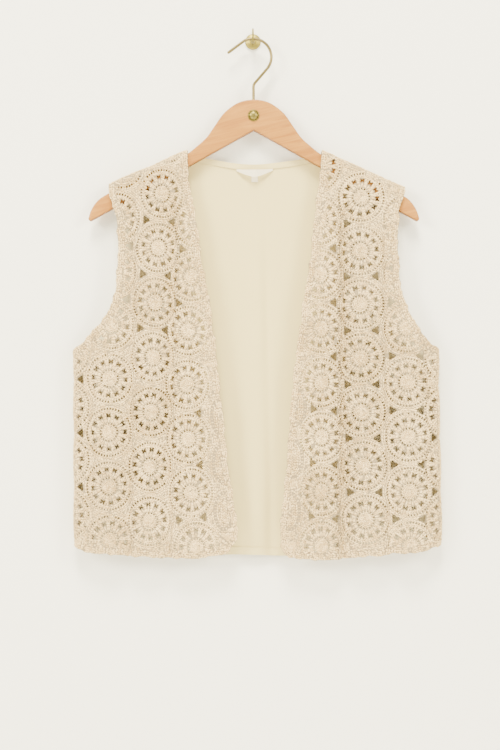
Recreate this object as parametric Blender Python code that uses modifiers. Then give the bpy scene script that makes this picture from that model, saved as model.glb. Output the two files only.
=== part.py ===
"""Sleeveless crochet gilet with open fronts and a plain cloth back, on a flat wooden hanger
that hangs from a small wall hook.

Metres, +Z up, the wall is the plane Y = 0 and the gilet hangs on its -Y side. The origin is the
middle of the wall hook's flat back. Cloth is drawn flat and then laid on the body of the
garment: a flat point is (outward, up), where outward is the distance from the middle of the
garment, and depth is the distance in front of the wall.
"""
import math
from collections import namedtuple

import bmesh
import bpy
import numpy as np
from mathutils import Vector
from mathutils.geometry import delaunay_2d_cdt

MM = 0.001
SEAM_GAP = 0.3 * MM

# Wall hook
ROSE_RADIUS = 10.5 * MM
ROSE_THICK = 4.0 * MM
ROSE_UP = 2.2 * MM
STEM_RADIUS = 2.2 * MM
STEM_LENGTH = 24.0 * MM
STEM_DROP = 1.1 * MM
PIN_RADIUS = 1.5 * MM
PIN_TOP = 15.0 * MM

# Hanger
BOARD_DEPTH = 15.0 * MM
BOARD_THICK = 12.0 * MM
BOARD_EDGE = 3.0 * MM
BOARD_CENTRE = 1.2 * MM
APEX_UNDER = -119.3 * MM
ARM_SLOPE = 0.555
WIRE_RADIUS = 1.8 * MM
BORE_RADIUS = 2.1 * MM
BORE_LENGTH = 18.0 * MM
HOOK_CENTRE_DROP = 21.3 * MM
HOOK_BEND_RADIUS = 24.4 * MM
RIVET_DROP = 100.1 * MM
RIVET_FLANGE_RADIUS = 7.6 * MM
RIVET_DOME_RADIUS = 5.8 * MM
RIVET_SHANK_RADIUS = 1.6 * MM
RIVET_SHANK_LENGTH = 3.4 * MM

# Cloth
CROCHET_THICK = 2.2 * MM
BACK_THICK = 1.3 * MM
SEAM_DEPTH = 12.3 * MM
BACK_DEPTH = 6.3 * MM
YOKE_DEPTH = 22.5 * MM
CHEST_DEPTH = 29.0 * MM
HEM_DEPTH = 31.0 * MM
SIDE_ROLL = 14.0 * MM
BACK_SIDE_ROLL = 4.0 * MM
SHOULDER_SEAM_DEPTH = 13.0 * MM
SHOULDER_TOP = -148.5 * MM
SHOULDER_TOP_AT = 89.0 * MM
SHOULDER_SLOPE = 0.44
SHOULDER_CORNER = 4.0 * MM
HEM_TURN = 10.0 * MM
HEM_TURN_RISE = 0.5 * MM
HEM_TURN_END = 226.0 * MM
NECK_BAND_HEIGHT = 7.0 * MM
NECK_BAND_THICK = 1.0 * MM
LABEL_THICK = 1.0 * MM
LABEL_BOW = 6.0 * MM
TAB_SIZE = (9.0 * MM, 6.0 * MM)

# Crochet motif: ring radii from its middle, and how far each ring stands out of the wall
MOTIF_RADIUS = 36.0 * MM
MOTIF_SPOKES = 12
MOTIF_BORDER = 5.5 * MM
Ring = namedtuple("Ring", "radius height between points turn")
MOTIF_RINGS = [
    Ring(7.5, 1.2, 1.2, 8, 0.0),
    Ring(10.8, 0.1, 0.1, 8, 0.5),
    Ring(14.5, 0.9, 0.9, 12, 0.0),
    Ring(20.0, 0.8, -0.5, 24, 0.0),
    Ring(25.0, 0.9, 0.9, 12, 0.0),
    Ring(29.5, 0.1, 0.1, 12, 0.5),
]
MOTIF_MIDDLE_HEIGHT = 1.5 * MM
SPOKE_INNER, SPOKE_MIDDLE, SPOKE_OUTER = 2, 3, 4
LAST_EDGED = 25.0
OVAL_RINGS = (0, 2)
OVAL_HEIGHT = 0.75
GAP_CORNER = 6.6 * MM
GAP_SIDE = 2.7 * MM
GAP_MARGIN = 7.0 * MM
FOLDS_CLOSE_UNDER = -400.0 * MM
SHOULDER_PARTS = 9
UNDERARM_TOP = -396.0 * MM

# Columns of motifs: outward place at yoke, waist and hem (mm), height of the top motif,
# pitch down the column, how many, and width over height of each motif
Column = namedtuple("Column", "yoke waist hem top pitch count squash")
# Vertical folds: outward place at yoke and hem, half width and depth (mm)
Fold = namedtuple("Fold", "yoke hem width depth")

YOKE_UP = -200.0 * MM
WAIST_UP = -440.0 * MM
HEM_UP = -680.0 * MM

RIGHT_FRONT = {
    "sign": -1,
    "board_shift": BOARD_CENTRE,
    "side": (238.0 * MM, 236.5 * MM),
    "neck_out": 86.6 * MM,
    "tip_out": 191.0 * MM,
    "underarm": -411.0 * MM,
    "closed_at": 0.9 * MM,
    "side_hem": -668.0 * MM,
    "armhole": [(190.0, -207), (184.0, -225), (179.8, -246), (178.9, -288), (184.2, -342),
                (196.6, -368), (219.6, -395), (233.0, -406.5)],
    "hem": [(228, -676), (200, -680), (149.4, -683.7), (100, -686), (73.5, -686.2)],
    "front_edge": [(39.5, -680.4), (25.2, -668), (20, -654), (25.2, -612), (33.5, -559.5),
                   (37.8, -511), (43, -469), (47.3, -427), (53.1, -377), (58.4, -338.3),
                   (67.2, -297.6), (72.5, -253.4), (81.3, -205.7), (86.3, -172)],
    "columns": [
        Column(246.6, 246.6, 246.6, -415.0, 71.0, 4, 0.95),
        Column(177.0, 189.0, 188.5, -235.8, 71.0, 7, 0.93),
        Column(120.2, 133.0, 136.5, -204.0, 72.2, 7, 0.88),
        Column(69.0, 87.0, 73.5, -243.5, 71.2, 7, 0.90),
        Column(54.0, 44.5, 36.5, -498.1, 62.8, 3, 0.42),
    ],
    "folds": [
        Fold(157, 162, 9.0, 4.6),
        Fold(103, 110, 9.0, 4.6),
        Fold(212, 214, 10.0, 2.5),
    ],
}
LEFT_FRONT = {
    "sign": 1,
    "board_shift": -BOARD_CENTRE,
    "side": (242.5 * MM, 250.0 * MM),
    "neck_out": 91.0 * MM,
    "tip_out": 201.5 * MM,
    "underarm": -409.0 * MM,
    "closed_at": 5.0 * MM,
    "side_hem": -669.0 * MM,
    "armhole": [(199.0, -209), (194.6, -225), (192.0, -262), (195.4, -324), (202.5, -350),
                (216.7, -379), (230.8, -398), (239.0, -405.0)],
    "hem": [(240, -673), (215, -678), (172.3, -681.6), (130, -686), (100.8, -687.9)],
    "front_edge": [(67, -687), (47, -684), (37.5, -671), (35.6, -648), (38.8, -616),
                   (43.5, -574), (46.5, -532), (51.3, -469), (57, -416), (62.5, -377),
                   (67.8, -338.3), (74.9, -297.6), (79.3, -253.4), (83.8, -214.5), (89, -174)],
    "columns": [
        Column(255.0, 256.0, 257.0, -420.0, 71.6, 4, 0.95),
        Column(204.0, 204.0, 209.0, -310.0, 72.0, 6, 0.97),
        Column(143.3, 142.5, 151.0, -209.1, 71.0, 7, 0.96),
        Column(88.0, 90.0, 90.0, -239.7, 71.6, 7, 0.88),
        Column(68.0, 59.5, 45.5, -485.8, 69.0, 3, 0.42),
    ],
    "folds": [
        Fold(118, 117, 9.0, 4.8),
        Fold(174, 180, 10.0, 2.5),
        Fold(232, 231, 10.0, 2.0),
    ],
}

BACK_NECK = [(-73, -154.2), (-55.2, -156.8), (-25.8, -161.9), (1.1, -163.7), (25.4, -161.9),
             (56, -158), (74, -155.0)]
BACK_HEM = [(-228, -675), (-200, -680), (-100, -684), (0, -684), (30, -685.4), (100, -684.5),
            (200, -679), (241, -673)]
BACK_ARMHOLE_OUT = 1.3 * MM
# Soft folds of the back: place at neck and hem, half width and depth (mm)
BACK_FOLDS = [
    Fold(10, 6, 12.0, -1.2),
    Fold(24, 22, 9.0, 1.0),
    Fold(-40, -34, 16.0, -0.8),
    Fold(120, 128, 22.0, -1.0),
    Fold(-130, -140, 24.0, -1.0),
]

# Hanger board: half of its upper edge from the middle outwards (mm)
BOARD_TOP = [(0, -78.5), (13, -80.2), (25.5, -85.4), (40.1, -97.2), (52.2, -114), (63, -129.2),
             (76.3, -141.4), (84.5, -148.2), (92, -153.0), (100, -157.0), (120, -166.2), (160, -186.2),
             (196.6, -205.3), (208.3, -214.1), (215.9, -225.5), (219.9, -237.5)]
BOARD_TIP = (217.3, -240.2)

BRASS = ((0.62, 0.48, 0.22, 1), 0.28, 1.0)
CHAMPAGNE = ((0.66, 0.55, 0.38, 1), 0.25, 1.0)
BEECH = ((0.72, 0.47, 0.28, 1), 0.55, 0.0)
COTTON_YARN = ((0.78, 0.68, 0.52, 1), 0.9, 0.0)
COTTON_CLOTH = ((0.75, 0.68, 0.53, 1), 0.9, 0.0)
RIBBON = ((0.85, 0.82, 0.75, 1), 0.6, 0.0)

TILT = math.atan(SHOULDER_SLOPE)
UPHILL = (math.sin(TILT), math.cos(TILT))


def start_empty():
    for item in list(bpy.data.objects):
        bpy.data.objects.remove(item, do_unlink=True)


def collection(name):
    found = bpy.data.collections.get(name) or bpy.data.collections.new(name)
    if name not in bpy.context.scene.collection.children:
        bpy.context.scene.collection.children.link(found)
    return found


def material(name, finish):
    colour, rough, metallic = finish
    made = bpy.data.materials.new(name)
    made.use_nodes = True
    shader = made.node_tree.nodes["Principled BSDF"]
    shader.inputs["Base Color"].default_value = colour
    shader.inputs["Roughness"].default_value = rough
    shader.inputs["Metallic"].default_value = metallic
    made.diffuse_color = colour
    return made


def add_object(name, data, finish, smooth=False):
    made = bpy.data.objects.new(name, data)
    data.materials.clear()
    data.materials.append(material(name + "_finish", finish))
    collection("crochet_gilet").objects.link(made)
    if smooth:
        data.shade_smooth()
        data.set_sharp_from_angle(angle=math.radians(40))
    return made


def cutter(name, data, place, turn):
    made = bpy.data.objects.new(name, data)
    made.location = place
    made.rotation_euler = turn
    made.hide_render = True
    made.display_type = "WIRE"
    collection("cutters").objects.link(made)
    return made


def cylinder_mesh(name, radius, length, sides):
    shape = bmesh.new()
    bmesh.ops.create_cone(shape, cap_ends=True, segments=sides, radius1=radius,
                          radius2=radius, depth=length)
    data = bpy.data.meshes.new(name)
    shape.to_mesh(data)
    shape.free()
    return data


def cut_with(target, tool):
    change = target.modifiers.new("cut_" + tool.name, "BOOLEAN")
    change.operation = "DIFFERENCE"
    change.solver = "EXACT"
    change.object = tool


# ---------------------------------------------------------------- curves in the flat


def smooth_through(points, step, scale=MM):
    """Points about step apart on the smooth curve through the given points."""
    knots = np.array(points, float) * scale
    knots = np.vstack([2 * knots[0] - knots[1], knots, 2 * knots[-1] - knots[-2]])
    dense = []
    for a, b, c, d in zip(knots[:-3], knots[1:-2], knots[2:-1], knots[3:]):
        for t in np.linspace(0, 1, 24, endpoint=False):
            dense.append(0.5 * (2 * b + (c - a) * t + (2 * a - 5 * b + 4 * c - d) * t * t
                                + (3 * b - a - 3 * c + d) * t ** 3))
    dense.append(knots[-2])
    return even_steps(np.array(dense), step)


def even_steps(path, step):
    lengths = np.concatenate([[0], np.cumsum(np.linalg.norm(np.diff(path, axis=0), axis=1))])
    count = max(1, round(lengths[-1] / step))
    wanted = np.linspace(0, lengths[-1], count + 1)
    return np.column_stack([np.interp(wanted, lengths, path[:, i]) for i in (0, 1)])


def joined(*stretches):
    """One closed outline from stretches that each start where the last one ended."""
    points = []
    for stretch in stretches:
        points.extend(tuple(p) for p in stretch[:-1])
    return points


def anticlockwise(loop):
    area = sum(x1 * y2 - x2 * y1 for (x1, y1), (x2, y2) in zip(loop, loop[1:] + loop[:1]))
    return loop if area > 0 else loop[::-1]


def inside(point, outline):
    x, y = point
    hit = False
    for (x1, y1), (x2, y2) in zip(outline, outline[1:] + outline[:1]):
        if (y1 > y) != (y2 > y) and x < x1 + (y - y1) * (x2 - x1) / (y2 - y1):
            hit = not hit
    return hit


def distance_to_outline(point, outline):
    p = np.array(point)
    a = np.array(outline)
    b = np.roll(a, -1, axis=0)
    along = np.clip(((p - a) * (b - a)).sum(1) / ((b - a) ** 2).sum(1), 0, 1)
    return float(np.linalg.norm(a + (b - a) * along[:, None] - p, axis=1).min())


def crosses(start, end, outline):
    """Whether a straight line meets an outline."""
    def turn(a, b, c):
        return (b[0] - a[0]) * (c[1] - a[1]) - (b[1] - a[1]) * (c[0] - a[0])

    for a, b in zip(outline, outline[1:] + outline[:1]):
        if (turn(start, end, a) * turn(start, end, b) <= 0
                and turn(a, b, start) * turn(a, b, end) <= 0):
            return True
    return False


def clear_of(loops, points, edges, apart):
    """The points that stay clear of the loops, and the edges that don't meet them."""
    new = {}
    for index, point in enumerate(points):
        if all(not inside(point, loop) and distance_to_outline(point, loop) > apart
               for loop in loops):
            new[index] = len(new)
    kept = [points[index] for index in new]
    links = [(new[a], new[b]) for a, b in edges if a in new and b in new
             and not any(crosses(points[a], points[b], loop) for loop in loops)]
    return kept, links


def ease(value, low, high):
    t = min(max((value - low) / (high - low), 0.0), 1.0)
    return t * t * (3 - 2 * t)


# ---------------------------------------------------------------- cloth laid on the garment


class Lay:
    """Lays flat points (outward, up) on the garment: over the hanger's arm at the shoulder
    and round the body at the side."""

    def __init__(self, sign, shift, side, thick, corner, roll, depth):
        self.sign = sign
        self.shift = shift
        self.side = side
        self.half = thick / 2
        self.corner = corner
        self.roll = roll
        self.depth = depth
        self.towards_wall = 1

    def side_at(self, up):
        along = (up - YOKE_UP) / (HEM_UP - YOKE_UP)
        return self.side[0] + (self.side[1] - self.side[0]) * along - CROCHET_THICK / 2

    def roll_start(self, up):
        return self.side_at(up) - self.roll

    def roll_end(self, up):
        """Flat outward place of the side seam."""
        start = self.roll_start(up)
        straight = self.towards_wall * (self.depth(start, up) - SEAM_DEPTH) - self.roll
        return start + self.roll * math.pi / 2 + straight - SEAM_GAP / 2

    def fold_line(self, outward):
        """Height where the wall starts to turn over the arm."""
        top = SHOULDER_TOP - SHOULDER_SLOPE * (outward - self.shift_out() - SHOULDER_TOP_AT)
        return top - (self.corner - self.half) / UPHILL[1]

    def shift_out(self):
        return self.sign * BOARD_CENTRE

    def over_shoulder(self, past):
        """Uphill reach and depth change after the length past of turning over the arm."""
        quarter = self.corner * math.pi / 2
        if past <= 0:
            return past, 0.0
        if past < quarter:
            turn = past / self.corner
            return self.corner * math.sin(turn), self.corner * (1 - math.cos(turn))
        return self.corner, self.corner + past - quarter

    def shoulder_bends(self):
        """Lengths past the fold line at which the wall bends over the arm."""
        return [self.corner * math.pi / 2 * k / 3 for k in range(4)]

    def shoulder_end(self):
        """Length from the fold line to the shoulder seam."""
        start = self.depth(SHOULDER_TOP_AT, self.fold_line(SHOULDER_TOP_AT))
        drop = self.towards_wall * (start - SHOULDER_SEAM_DEPTH) - SEAM_GAP / 2
        return self.corner * math.pi / 2 + drop - self.corner

    def flat_over(self, outward, past):
        """Flat point that lands at the given outward place, past the fold line."""
        reach = self.over_shoulder(past)[0]
        flat_out = outward + UPHILL[0] * (past - reach)
        return flat_out, self.fold_line(flat_out) + past / UPHILL[1]

    def middle(self, outward, up):
        past = (up - self.fold_line(outward)) * UPHILL[1]
        turned = 0.0
        if past > 0:
            reach, turned = self.over_shoulder(past)
            outward = outward - UPHILL[0] * (past - reach)
            up = up - UPHILL[1] * (past - reach)
        start = self.roll_start(up)
        beyond = outward - start
        if beyond > 0:
            depth = self.depth(start, up)
            angle = min(beyond / self.roll, math.pi / 2)
            outward = start + self.roll * math.sin(angle)
            turned += self.roll * (1 - math.cos(angle)) + beyond - self.roll * angle
        else:
            depth = self.depth(outward, up)
        depth -= self.towards_wall * turned
        return np.array((self.sign * outward, -depth, up))

    def place(self, outward, up, off):
        """The point off the wall's middle, towards the garment's outside."""
        step = 0.4 * MM
        across = self.middle(outward + step, up) - self.middle(outward - step, up)
        along = self.middle(outward, up + step) - self.middle(outward, up - step)
        normal = np.cross(across, along) * self.sign * self.towards_wall
        return self.middle(outward, up) + normal / np.linalg.norm(normal) * off


def fold_depth(folds, outward, up):
    along = (up - YOKE_UP) / (HEM_UP - YOKE_UP)
    total = 0.0
    for fold in folds:
        middle = (fold.yoke + (fold.hem - fold.yoke) * along) * MM
        total += fold.depth * MM * math.exp(-((outward - middle) / (fold.width * MM)) ** 2)
    return total


def front_lay(front):
    def depth(outward, up):
        under = lay.fold_line(outward) - up
        drop = ease(under, 24 * MM, 200 * MM)
        low = ease(-up, 400 * MM, -HEM_UP)
        base = YOKE_DEPTH + (CHEST_DEPTH - YOKE_DEPTH) * drop + (HEM_DEPTH - CHEST_DEPTH) * low
        return base - fold_depth(front["folds"], outward, up) * ease(under, 24 * MM, 95 * MM)

    lay = Lay(front["sign"], front["board_shift"], front["side"], CROCHET_THICK,
              SHOULDER_CORNER + CROCHET_THICK / 2, SIDE_ROLL, depth)
    return lay


def back_lay(front):
    """The back's lay on the side of the given front."""
    def depth(outward, up):
        calm = ease(outward, 205 * MM, 175 * MM)
        low = ease(-up, 200 * MM, 330 * MM)
        return BACK_DEPTH + fold_depth(BACK_FOLDS, outward * front["sign"], up) * calm * low

    corner = SHOULDER_SEAM_DEPTH - BACK_DEPTH - 0.4 * MM
    lay = Lay(front["sign"], front["board_shift"], front["side"], BACK_THICK, corner,
              BACK_SIDE_ROLL, depth)
    lay.towards_wall = -1
    return lay


# ---------------------------------------------------------------- walls


def triangulated(points, edges, loops):
    """Flat triangles inside loops[0] and outside the other loops, with the points used."""
    made = delaunay_2d_cdt([Vector(p) for p in points], edges, loops, 1, 1e-6)
    corners, faces, sources, faces_from = made[0], made[2], made[3], made[5]
    kept = [face for face, owners in zip(faces, faces_from) if list(owners) == [0]]
    return [tuple(c) for c in corners], kept, [min(s) if len(s) else -1 for s in sources]


def cloth_wall(name, loops, outer, inner, place, half, finish):
    """One closed wall: loops are its flat outline and the gaps cut through it. outer and
    inner hold more flat points of each face as (point, height), and edges between them."""
    loops = [anticlockwise(loop) for loop in loops]
    rim = [point for loop in loops for point in loop]
    starts = np.cumsum([0] + [len(loop) for loop in loops])
    rounds = [list(range(a, b)) for a, b in zip(starts[:-1], starts[1:])]
    shape = bmesh.new()
    rims = []
    for (extra, edges), side in ((outer, 1), (inner, -1)):
        points = rim + [point for point, height in extra]
        heights = [0.0] * len(rim) + [height for point, height in extra]
        shifted = [(a + len(rim), b + len(rim)) for a, b in edges]
        corners, faces, sources = triangulated(points, shifted, rounds)
        made = {}
        for face in faces:
            for index in face:
                if index not in made:
                    height = heights[sources[index]] if sources[index] >= 0 else 0.0
                    made[index] = shape.verts.new(place(*corners[index], side * half + height))
            shape.faces.new([made[index] for index in face])
        rims.append({sources[index]: vert for index, vert in made.items()})
    for ring in rounds:
        for a, b in zip(ring, ring[1:] + ring[:1]):
            shape.faces.new([rims[0][a], rims[0][b], rims[1][b], rims[1][a]])
    bmesh.ops.triangulate(shape, faces=[f for f in shape.faces if len(f.verts) > 3])
    bmesh.ops.recalc_face_normals(shape, faces=shape.faces)
    data = bpy.data.meshes.new(name)
    shape.to_mesh(data)
    shape.free()
    return add_object(name, data, finish, smooth=True)


def spread(candidates, taken, apart):
    """The candidates that lie apart from what is taken and from each other."""
    kept = []
    others = [np.array(p) for p in taken]
    for point in candidates:
        here = np.array(point)
        if all(np.abs(here - other).max() > apart or np.linalg.norm(here - other) > apart
               for other in others):
            kept.append(tuple(point))
            others.append(here)
    return kept


# ---------------------------------------------------------------- crochet fronts


def column_place(column, up):
    """Outward place of a motif column at a height, on the curve through its three places."""
    t = (up - YOKE_UP) / (HEM_UP - YOKE_UP)
    bend = 2 * (column.yoke + column.hem - 2 * column.waist)
    return (column.yoke + (4 * column.waist - 3 * column.yoke - column.hem) * t
            + bend * t * t) * MM


def motif_middles(front):
    """(outward, up, squash) of every motif, one list for each column."""
    columns = []
    for column in front["columns"]:
        middles = []
        for row in range(column.count):
            up = (column.top - row * column.pitch) * MM
            middles.append((column_place(column, up), up, column.squash))
        columns.append(middles)
    return columns


def gap_loops(front, outline):
    """Three-cornered gaps between neighbouring motifs, clear of the outline."""
    loops = []
    columns = motif_middles(front)
    for index, middles in enumerate(columns):
        if middles[0][2] < 0.5:
            continue
        for upper, lower in zip(middles, middles[1:]):
            for other in (index - 1, index + 1):
                if not 0 <= other < len(columns):
                    continue
                between = (upper[1] + lower[1]) / 2
                third = min(columns[other], key=lambda m: abs(m[1] - between))
                if abs(third[1] - between) > MOTIF_RADIUS / 2:
                    continue
                out = (upper[0] + lower[0] + third[0]) / 3
                folded = fold_depth(front["folds"], out, between)
                if between < FOLDS_CLOSE_UNDER and folded > front["closed_at"]:
                    continue
                loops.append(gap_loop([upper, lower, third]))
    return [loop for loop in loops if all(
        inside(p, outline) and distance_to_outline(p, outline) > GAP_MARGIN for p in loop)]


def gap_loop(around):
    middles = np.array([m[:2] for m in around])
    centre = middles.mean(axis=0)
    squash = np.array((around[0][2], 1.0))
    loop = []
    for a, b, c in ((0, 1, 2), (1, 2, 0), (2, 0, 1)):
        corner = (middles[a] + middles[b]) / 2 - centre
        side = centre - middles[b]
        loop.append(centre + corner / np.linalg.norm(corner) * GAP_CORNER * squash)
        loop.append(centre - side / np.linalg.norm(side) * GAP_SIDE * squash)
    return [tuple(p) for p in loop]


def motif_relief(middle, allowed):
    """Points and edges of one motif's rings and spokes, where they are allowed."""
    outward, up, squash = middle
    oval = squash < 0.5
    rings = [MOTIF_RINGS[k] for k in OVAL_RINGS] if oval else MOTIF_RINGS
    tall = OVAL_HEIGHT if oval else 1.0
    points, edges, places = [], [], []
    if allowed((outward, up)):
        points.append(((outward, up), MOTIF_MIDDLE_HEIGHT))
    for ring in rings:
        around = []
        for k in range(ring.points):
            angle = 2 * math.pi * (k + ring.turn) / ring.points
            point = (outward + ring.radius * MM * squash * math.cos(angle),
                     up + ring.radius * MM * tall * math.sin(angle))
            if allowed(point):
                around.append(len(points))
                points.append((point, (ring.between if k % 2 else ring.height) * MM))
            else:
                around.append(None)
        if ring.radius <= LAST_EDGED:
            edges += linked(around, around[1:] + around[:1])
        places.append(around)
    if not oval:
        spokes = places[SPOKE_MIDDLE][::2]
        edges += linked(places[SPOKE_INNER], spokes) + linked(spokes, places[SPOKE_OUTER])
    return points, edges


def linked(ones, others):
    return [(a, b) for a, b in zip(ones, others) if a is not None and b is not None]


def shoulder_line(front, lay, past):
    """Flat points along the shoulder at one length past the fold line."""
    wide = front["tip_out"] - front["neck_out"]
    return [lay.flat_over(front["neck_out"] + wide * k / SHOULDER_PARTS, past)
            for k in range(SHOULDER_PARTS + 1)]


def shoulder_edges(front, lay):
    """Outline over the arm: up the neck end, along the shoulder seam, down the tip end."""
    over = lay.shoulder_bends() + [lay.shoulder_end()]
    lines = [shoulder_line(front, lay, past) for past in over]
    return [line[0] for line in lines], lines[-1], [line[-1] for line in lines[::-1]]


def front_outline(front, lay, step):
    neck, seam, tip = shoulder_edges(front, lay)
    top = (lay.roll_end(front["underarm"]), front["underarm"])
    low = (lay.roll_end(front["side_hem"]), front["side_hem"])
    arm_points = [tip[-1]] + [tuple(MM * v for v in p) for p in front["armhole"]] + [top]
    hem_points = [low] + [tuple(MM * v for v in p) for p in front["hem"]]
    edge_points = [hem_points[-1]] + [tuple(MM * v for v in p) for p in front["front_edge"]]
    edge_points.append(neck[0])
    side = [(lay.roll_end(up), up) for up in np.linspace(front["underarm"],
                                                         front["side_hem"], 18)]
    return joined(seam, tip, smooth_through(arm_points, step, 1), side,
                  smooth_through(hem_points, step, 1), smooth_through(edge_points, step, 1),
                  neck)


def bend_lines(front, lay, outline, turns, step):
    """Flat lines along which the wall bends round the side and over the arm, as points
    and edges."""
    points, edges = [], []
    heights = np.arange(UNDERARM_TOP, front["side_hem"], -step)
    for turn in np.linspace(0, 1, turns):
        line = [(lay.roll_start(up) + lay.roll * math.pi / 2 * turn, up) for up in heights]
        line = [p if inside(p, outline) and distance_to_outline(p, outline) > 2 * MM else None
                for p in line]
        add_line(points, edges, line)
    for past in lay.shoulder_bends():
        add_line(points, edges, shoulder_line(front, lay, past))
    return points, edges


def add_line(points, edges, line):
    """Adds a line of points and the edges between them; None leaves a break."""
    last = None
    for point in line:
        if point is None:
            last = None
            continue
        points.append(point)
        if last is not None:
            edges.append((last, len(points) - 1))
        last = len(points) - 1


def unbent(lay, outward, up):
    """Whether a flat point lies clear of the side roll and the turn over the arm."""
    over = outward > SHOULDER_TOP_AT - 9 * MM and up > lay.fold_line(outward) - 3 * MM
    return not over and outward < lay.roll_start(up) - 3 * MM


def fold_points(front, outline, step, parts):
    """Flat points on and beside every vertical fold, at parts of its half width."""
    points = []
    for up in np.arange(-205 * MM, HEM_UP, -step):
        along = (up - YOKE_UP) / (HEM_UP - YOKE_UP)
        for fold in front["folds"]:
            middle = fold.yoke + (fold.hem - fold.yoke) * along
            for part in parts:
                points.append(((middle + part * fold.width) * MM, up))
    return [p for p in points if inside(p, outline) and distance_to_outline(p, outline) > 4 * MM]


def grid_points(outline, across, down):
    low, high = np.min(outline, axis=0), np.max(outline, axis=0)
    columns = np.arange(low[0], high[0], across)
    rows = np.arange(low[1], high[1], down)
    return [(x, y) for x in columns for y in rows
            if inside((x, y), outline) and distance_to_outline((x, y), outline) > 4 * MM]


def ring_height(radius):
    """Mean height of a motif's relief at a distance from its middle."""
    reach = [0.0] + [ring.radius for ring in MOTIF_RINGS]
    rise = [MOTIF_MIDDLE_HEIGHT / MM] + [(r.height + r.between) / 2 for r in MOTIF_RINGS]
    return float(np.interp(radius / MM, reach, rise, right=0.0)) * MM


def crochet_front(name, front):
    lay = front_lay(front)
    outline = front_outline(front, lay, 9 * MM)
    gaps = gap_loops(front, outline)
    gap_points = [p for loop in gaps for p in loop]

    def allowed(point):
        return (inside(point, outline)
                and distance_to_outline(point, outline) > MOTIF_BORDER
                and point[1] < lay.fold_line(point[0]) - 2 * MM
                and point[0] < lay.roll_start(point[1]) - 2.5 * MM
                and all(math.dist(point, p) > 3.2 * MM for p in gap_points))

    relief, edges = [], []
    for middles in motif_middles(front):
        for middle in middles:
            points, links = motif_relief(middle, allowed)
            edges += [(a + len(relief), b + len(relief)) for a, b in links]
            relief += points
    edges = [(a, b) for a, b in edges
             if not any(crosses(relief[a][0], relief[b][0], gap) for gap in gaps)]
    bends, bend_edges = clear_of(gaps, *bend_lines(front, lay, outline, 5, 8 * MM), 1.5 * MM)
    middles = [m for column in motif_middles(front) for m in column]
    raised = []
    for point in bends:
        near = min(math.hypot((point[0] - m[0]) / m[2], point[1] - m[1]) for m in middles)
        flat = point[1] > lay.fold_line(point[0]) - 1 * MM
        raised.append((point, 0.0 if flat else ring_height(near)))
    edges += [(a + len(relief), b + len(relief)) for a, b in bend_edges]
    taken = outline + gap_points + bends + [p for p, h in relief]
    valleys = [p for p in fold_points(front, outline, 10 * MM, (0, -0.8, 0.8)) if unbent(lay, *p)]
    raised += [(p, 0.1 * MM) for p in spread(valleys, taken, 3.6 * MM)]
    bends, bend_edges = clear_of(gaps, *bend_lines(front, lay, outline, 5, 16 * MM), 1.5 * MM)
    fill = fold_points(front, outline, 8 * MM, (0,))
    fill += fold_points(front, outline, 12 * MM, (-0.6, 0.6))
    fill += fold_points(front, outline, 24 * MM, (-1.2, 1.2, -2.0, 2.0))
    fill += grid_points(outline, 18 * MM, 24 * MM)
    inner_fill = spread([p for p in fill if unbent(lay, *p)
                         and not any(inside(p, gap) for gap in gaps)],
                        outline + gap_points + bends, 3.2 * MM)
    inner = ([(p, 0.0) for p in bends + inner_fill], bend_edges)
    return cloth_wall(name, [outline] + gaps, (relief + raised, edges), inner, lay.place,
                      CROCHET_THICK / 2, COTTON_YARN)


# ---------------------------------------------------------------- back, neck band and label


def back_pair():
    return back_lay(RIGHT_FRONT), back_lay(LEFT_FRONT)


def place_on_back(lays, across, up, off):
    """The back's point at a flat (across, up), off its middle towards the inside."""
    lay = lays[1] if across > 0 else lays[0]
    return lay.place(abs(across), up, -off)


def back_half_top(front, lay, step):
    """Flat outward outline of one half, from the neck over the shoulder to the side seam."""
    neck, seam, tip = shoulder_edges(front, lay)
    out = [0, 0.4, 1, 1, 0.5, 0, 0, 0]
    arm = [(a * MM + more * BACK_ARMHOLE_OUT, b * MM) for (a, b), more in
           zip(front["armhole"], out)]
    top = (lay.roll_end(front["underarm"]), front["underarm"])
    arm_points = [tip[-1]] + arm[1:] + [top]
    side = [(lay.roll_end(up), up) for up in np.linspace(front["underarm"],
                                                         front["side_hem"], 10)]
    return neck[:-1] + seam[:-1] + tip[:-1] + list(smooth_through(arm_points, step, 1))[:-1] + side


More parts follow.
